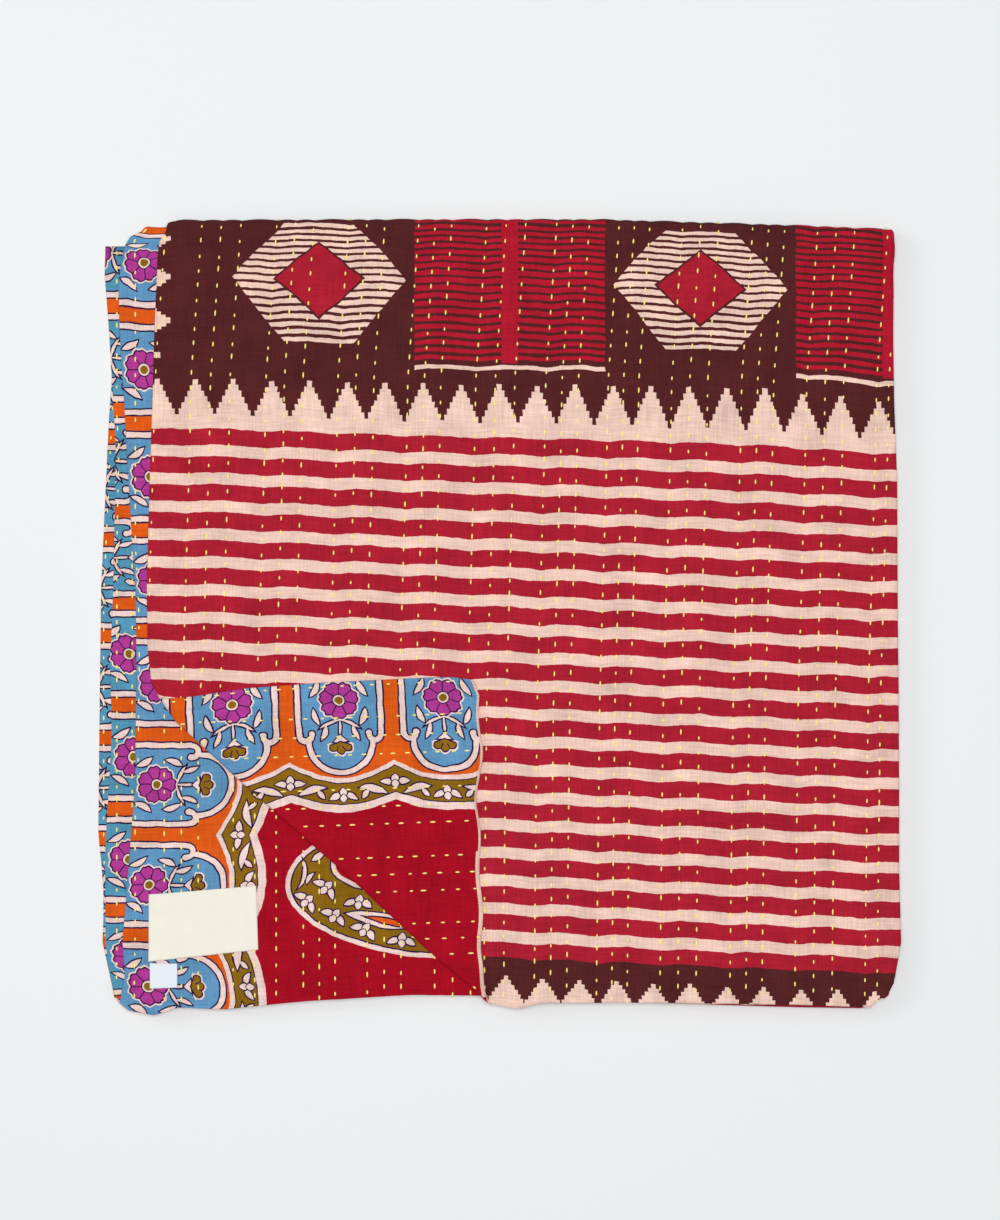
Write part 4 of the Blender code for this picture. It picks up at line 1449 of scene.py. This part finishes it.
def stitch_tree(material):
    """Geometry nodes that sew a running stitch along every line of a mesh."""
    tree = bpy.data.node_groups.new("Running stitch", "GeometryNodeTree")
    tree.interface.new_socket("Geometry", in_out="INPUT", socket_type="NodeSocketGeometry")
    for name in ("Pitch", "Longest", "Width"):
        tree.interface.new_socket(name, in_out="INPUT", socket_type="NodeSocketFloat")
    tree.interface.new_socket("Seed", in_out="INPUT", socket_type="NodeSocketInt")
    tree.interface.new_socket("Geometry", in_out="OUTPUT", socket_type="NodeSocketGeometry")
    given = add_node(tree, "NodeGroupInput").outputs
    curve = add_node(tree, "GeometryNodeMeshToCurve", None, {"Mesh": given["Geometry"]})
    points = add_node(tree, "GeometryNodeResampleCurve", {"mode": "LENGTH"},
                      {"Curve": curve.outputs[0], "Length": given["Pitch"]})
    tangent = add_node(tree, "GeometryNodeInputTangent").outputs[0]
    slip = add_node(tree, "FunctionNodeRandomValue", {"data_type": "FLOAT"},
                    {"Min": -STITCH_SLIP, "Max": STITCH_SLIP, "Seed": given["Seed"]})
    moved = add_node(tree, "GeometryNodeSetPosition", None,
                     {"Geometry": points.outputs[0],
                      "Offset": scale_vector(tree, tangent, slip.outputs[1])})
    bead = add_node(tree, "GeometryNodeMeshUVSphere", None, BEAD)
    turn = add_node(tree, "FunctionNodeAlignRotationToVector", {"axis": "Z"}, {"Vector": tangent})
    share = add_node(tree, "FunctionNodeRandomValue", {"data_type": "FLOAT"},
                     {"Min": SHORTEST_SHARE, "Max": 1.0, "Seed": given["Seed"]})
    length_shown = add_node(tree, "ShaderNodeMath", {"operation": "MULTIPLY"},
                            {0: share.outputs[1], 1: given["Longest"]})
    scale = add_node(tree, "ShaderNodeCombineXYZ", None,
                     {0: given["Width"], 1: given["Width"], 2: length_shown.outputs[0]})
    sewn = add_node(tree, "GeometryNodeInstanceOnPoints", None,
                    {"Points": moved.outputs[0], "Instance": bead.outputs[0],
                     "Rotation": turn.outputs[0], "Scale": scale.outputs[0]})
    real = add_node(tree, "GeometryNodeRealizeInstances", None, {"Geometry": sewn.outputs[0]})
    soft = add_node(tree, "GeometryNodeSetShadeSmooth", None, {"Geometry": real.outputs[0]})
    dyed = add_node(tree, "GeometryNodeSetMaterial", None,
                    {"Geometry": soft.outputs[0], "Material": material})
    add_node(tree, "NodeGroupOutput", None, {"Geometry": dyed.outputs[0]})
    return tree


def sew(name, rows, sizes, material):
    """Sew running stitches along rows of points, as one piece."""
    mesh = bmesh.new()
    for row in rows:
        points = [mesh.verts.new(point) for point in row]
        for first, second in zip(points, points[1:]):
            mesh.edges.new((first, second))
    piece = add_piece(name, mesh_data(name, mesh), [material])
    tree = stitch_tree(material)
    modifier = piece.modifiers.new("Running stitch", "NODES")
    modifier.node_group = tree
    values = {"Pitch": sizes.stitch_pitch, "Longest": sizes.stitch_length,
              "Width": sizes.thread_width, "Seed": sizes.seed}
    for item in tree.interface.items_tree:
        if item.in_out == "INPUT" and item.name in values:
            modifier[item.identifier] = values[item.name]
    settle(piece)
    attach(piece, BODY)
    return piece


ROW_POINT_STEP = 0.0045
ROW_START = 0.004
ROW_EDGE = 0.003
HEM_ROW_EDGE = 0.0045
TURNED_LEAN = 0.060
TURNED_SHIFT = 0.003
UNDER_SINK = 0.0006
CREASE_LEAN_AT = 0.2
MARGIN_START = 0.05
OUTERMOST_GAP = 0.01


def steps_along(start, end):
    """Places along a row of stitches."""
    while start < end:
        yield start
        start += ROW_POINT_STEP


def first_leaf_row(line, start, end, side, sizes, offset):
    """Points along a stitch line of the first leaf, on the striped face or on the reverse."""
    points = []
    height = sizes.thickness / 2 - (UNDER_SINK if start >= FAR_END else 0.0)
    for along in steps_along(start + offset, end):
        x = line + lean_at(along)
        y = LOWER_HEM_Y + along
        hem = hem_at(along, "first")
        fold = fold_at(along)
        if side < 0:
            x += TURNED_SHIFT + TURNED_LEAN * (end - along)
            if line == FIRST_LEAF_LINES[0]:
                x = max(x, hem + HEM_ROW_EDGE)
        if hem + ROW_EDGE < x < fold:
            if side < 0:
                x, y = clear_of_bow(x, y, 1)
            points.append(on_cloth(x, y, side * height, sizes))
    return points


def second_leaf_row(line, start, end, sizes, offset):
    """Points along a stitch line of the second leaf, on the reverse."""
    points = []
    for along in steps_along(start + offset, end):
        fold = fold_at(along)
        x = max(line, hem_at(along, "second") + ROW_EDGE)
        flat_x = 2 * fold + SIDE_BEND - x
        points.append(on_cloth(flat_x, LOWER_HEM_Y + along, -sizes.thickness / 2, sizes))
    return points


def bottom_margin_row(sizes):
    """Points along the stitch line that shows on the lowest leaf's margin."""
    points = []
    for along in steps_along(FAR_END + MARGIN_START, BOTTOM_END):
        x = max(BOTTOM_MARGIN_ROW, hem_at(along, "first") + ROW_EDGE)
        points.append(on_cloth(x, LOWER_HEM_Y + along, -sizes.thickness / 2, sizes))
    return points


def draw_offsets(sizes):
    """How far along its line each row of stitches starts."""
    chance = random.Random(sizes.seed)
    while True:
        yield chance.random() * sizes.stitch_pitch


class THROW_OT_sew_stitches(bpy.types.Operator):
    """Sew the running stitches of the quilting"""

    bl_idname = "throw.sew_stitches"
    bl_label = "Sew the stitches"

    def execute(self, context):
        sizes = context.scene.throw_sizes
        thread = thread_cotton(read_inks(context))
        offsets = draw_offsets(sizes)

        shown, turned, under = [], [], []
        for line in FIRST_LEAF_LINES:
            x = line + lean_at(CREASE_LEAN_AT)
            crease_y = CREASE_LEFT[1] + (x - CREASE_LEFT[0]) * CREASE_ALONG[1] / CREASE_ALONG[0]
            crease = max(crease_y - LOWER_HEM_Y, 0.0)
            start = crease + ROW_START if x < CREASE_RIGHT[0] else ROW_START
            end = FOLD_LINE + ROW_START
            shown.append(first_leaf_row(line, start, end, 1, sizes, next(offsets)))
            if x < CREASE_RIGHT[0]:
                end = crease - ROW_START
                turned.append(first_leaf_row(line, ROW_START, end, -1, sizes, next(offsets)))
            under.append(first_leaf_row(line, FAR_END, BOTTOM_END, 1, sizes, next(offsets)))
        for line in SECOND_LEAF_LINES:
            outermost = line < FIRST_LEAF_LINES[0] - OUTERMOST_GAP
            end = TOP_END if outermost else SECOND_LEAF_RIDGE_TOP_Y - LOWER_HEM_Y
            turned.append(second_leaf_row(line, ROW_START, end, sizes, next(offsets)))
        for line in MIDDLE_MARGIN_ROWS:
            end = CLOTH_LENGTH - ROW_START
            turned.append(second_leaf_row(line, NEAR_END, end, sizes, next(offsets)))
        turned.append(bottom_margin_row(sizes))
        sew("stitches_striped_face", [row for row in shown if len(row) > 1], sizes, thread)
        sew("stitches_reverse", [row for row in turned if len(row) > 1], sizes, thread)
        sew("stitches_underside", [row for row in under if len(row) > 1], sizes, thread)
        return {"FINISHED"}


LABEL_THICKNESS = 0.0007
LABEL_GAP = 0.0003
LABEL_WAVE = 0.0002
LABEL_WAVE_SCALE = 60
LABEL_WAVE_LAYER = 8.0


def between(first, second, share):
    """The point at a share of the way from one point to another."""
    return Edge(first.x + share * (second.x - first.x), first.y + share * (second.y - first.y))


def label_mesh(name, corners, cells, sizes):
    """A label that follows the leaf it is sewn to."""
    mesh = bmesh.new()
    bmesh.ops.create_grid(mesh, x_segments=cells[0], y_segments=cells[1], size=0.5)
    low_left, low_right, high_right, high_left = corners
    rise = sizes.thickness / 2 + sizes.ridge_height + LABEL_GAP + LABEL_THICKNESS / 2
    for vertex in mesh.verts:
        across, up = vertex.co.x + 0.5, vertex.co.y + 0.5
        low, high = between(low_left, low_right, across), between(high_left, high_right, across)
        x, y = between(low, high, up)
        z = TOP_Z - SIDE_RADIUS - sink_in_top_panel(x, y) + rise
        place = Vector((x * LABEL_WAVE_SCALE, y * LABEL_WAVE_SCALE, LABEL_WAVE_LAYER))
        z += LABEL_WAVE * noise.noise(place)
        vertex.co = (x - MIDDLE_X, y - MIDDLE_Y, z)
    return mesh_data(name, mesh)


class THROW_OT_sew_labels(bpy.types.Operator):
    """Sew the two labels to the leaf under the turned corner"""

    bl_idname = "throw.sew_labels"
    bl_label = "Sew the labels"

    def execute(self, context):
        sizes = context.scene.throw_sizes
        inks = read_inks(context)
        cotton = label_cloth("Woven cotton label tape", inks["label"], 0.8, 0.0012)
        satin = label_cloth("Woven satin label tape", inks["care_label"], 0.5, 0.0009)
        rows = (
            ("cloth_label", CLOTH_LABEL, (72, 40), cotton, "label_cotton"),
            ("care_label", CARE_LABEL, (24, 20), satin, "label_satin"),
        )
        for node, corners, cells, material, slot in rows:
            name = node + "_tape"
            piece = add_piece(name, label_mesh(name, corners, cells, sizes), [material])
            thicken(piece, LABEL_THICKNESS)
            settle(piece)
            piece.data.shade_smooth()
            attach(piece, BODY)
            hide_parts(node)
        return {"FINISHED"}


FLOOR_SIZE = 12.0
FRAME_HEIGHT = 1.220
SENSOR = 36.0
CAMERA_DISTANCE = 3.0
CAMERA_AIM = (0.001151, 0.006961, 0.020)
Lamp = namedtuple("Lamp", "name place size power")
LAMPS = (
    Lamp("Softbox overhead", (0.1, 0.25, 5.0), 2.0, 170.0),
    Lamp("Softbox left", (-4.0, 1.4, 2.6), 2.0, 40.0),
)
WORLD_LIGHT = 0.27


class THROW_OT_set_stage(bpy.types.Operator):
    """Add the floor, the soft light and the camera over the throw"""

    bl_idname = "throw.set_stage"
    bl_label = "Set the stage"

    def execute(self, context):
        mesh = bmesh.new()
        bmesh.ops.create_grid(mesh, x_segments=1, y_segments=1, size=FLOOR_SIZE / 2)
        paper = seamless_paper(read_inks(context)["floor"])
        floor = add_piece("floor", mesh_data("floor", mesh), [paper])

        for lamp in LAMPS:
            light = bpy.data.lights.new(lamp.name, "AREA")
            light.size = lamp.size
            light.energy = lamp.power
            holder = bpy.data.objects.new(lamp.name, light)
            holder.location = lamp.place
            towards = Vector((0, 0, 0)) - Vector(lamp.place)
            holder.rotation_euler = towards.to_track_quat("-Z", "Y").to_euler()
            context.scene.collection.objects.link(holder)

        world = bpy.data.worlds.new("Studio")
        world.use_nodes = True
        background = world.node_tree.nodes["Background"]
        background.inputs["Color"].default_value = (*linear("#ffffff"), 1.0)
        background.inputs["Strength"].default_value = WORLD_LIGHT
        context.scene.world = world
        context.scene.view_settings.view_transform = "Standard"

        data = bpy.data.cameras.new("Camera")
        data.sensor_width = SENSOR
        data.lens = SENSOR * CAMERA_DISTANCE / FRAME_HEIGHT
        camera = bpy.data.objects.new("Camera", data)
        camera.location = (CAMERA_AIM[0], CAMERA_AIM[1], CAMERA_AIM[2] + CAMERA_DISTANCE)
        context.scene.collection.objects.link(camera)
        context.scene.camera = camera
        return {"FINISHED"}


class THROW_PT_panel(bpy.types.Panel):
    """Sizes, colours and steps of the throw"""

    bl_label = "Quilted throw"
    bl_idname = "THROW_PT_panel"
    bl_space_type = "VIEW_3D"
    bl_region_type = "UI"
    bl_category = "Throw"

    def draw(self, context):
        layout = self.layout
        for group in (context.scene.throw_sizes, context.scene.throw_colours):
            column = layout.column(align=True)
            for name in group.__annotations__:
                column.prop(group, name)
        for operator in OPERATORS:
            layout.operator(operator.bl_idname)


OPERATORS = (THROW_OT_fold_cloth, THROW_OT_sew_stitches, THROW_OT_sew_labels, THROW_OT_set_stage)
CLASSES = (ThrowSizes, ThrowColours, *OPERATORS, THROW_PT_panel)


def register():
    for item in CLASSES:
        bpy.utils.register_class(item)
    bpy.types.Scene.throw_sizes = PointerProperty(type=ThrowSizes)
    bpy.types.Scene.throw_colours = PointerProperty(type=ThrowColours)


def unregister():
    del bpy.types.Scene.throw_colours
    del bpy.types.Scene.throw_sizes
    for item in reversed(CLASSES):
        bpy.utils.unregister_class(item)


def main():
    register()
    bpy.ops.throw.fold_cloth()
    bpy.ops.throw.sew_stitches()
    bpy.ops.throw.sew_labels()
    bpy.ops.throw.set_stage()


if __name__ == "__main__":
    main()
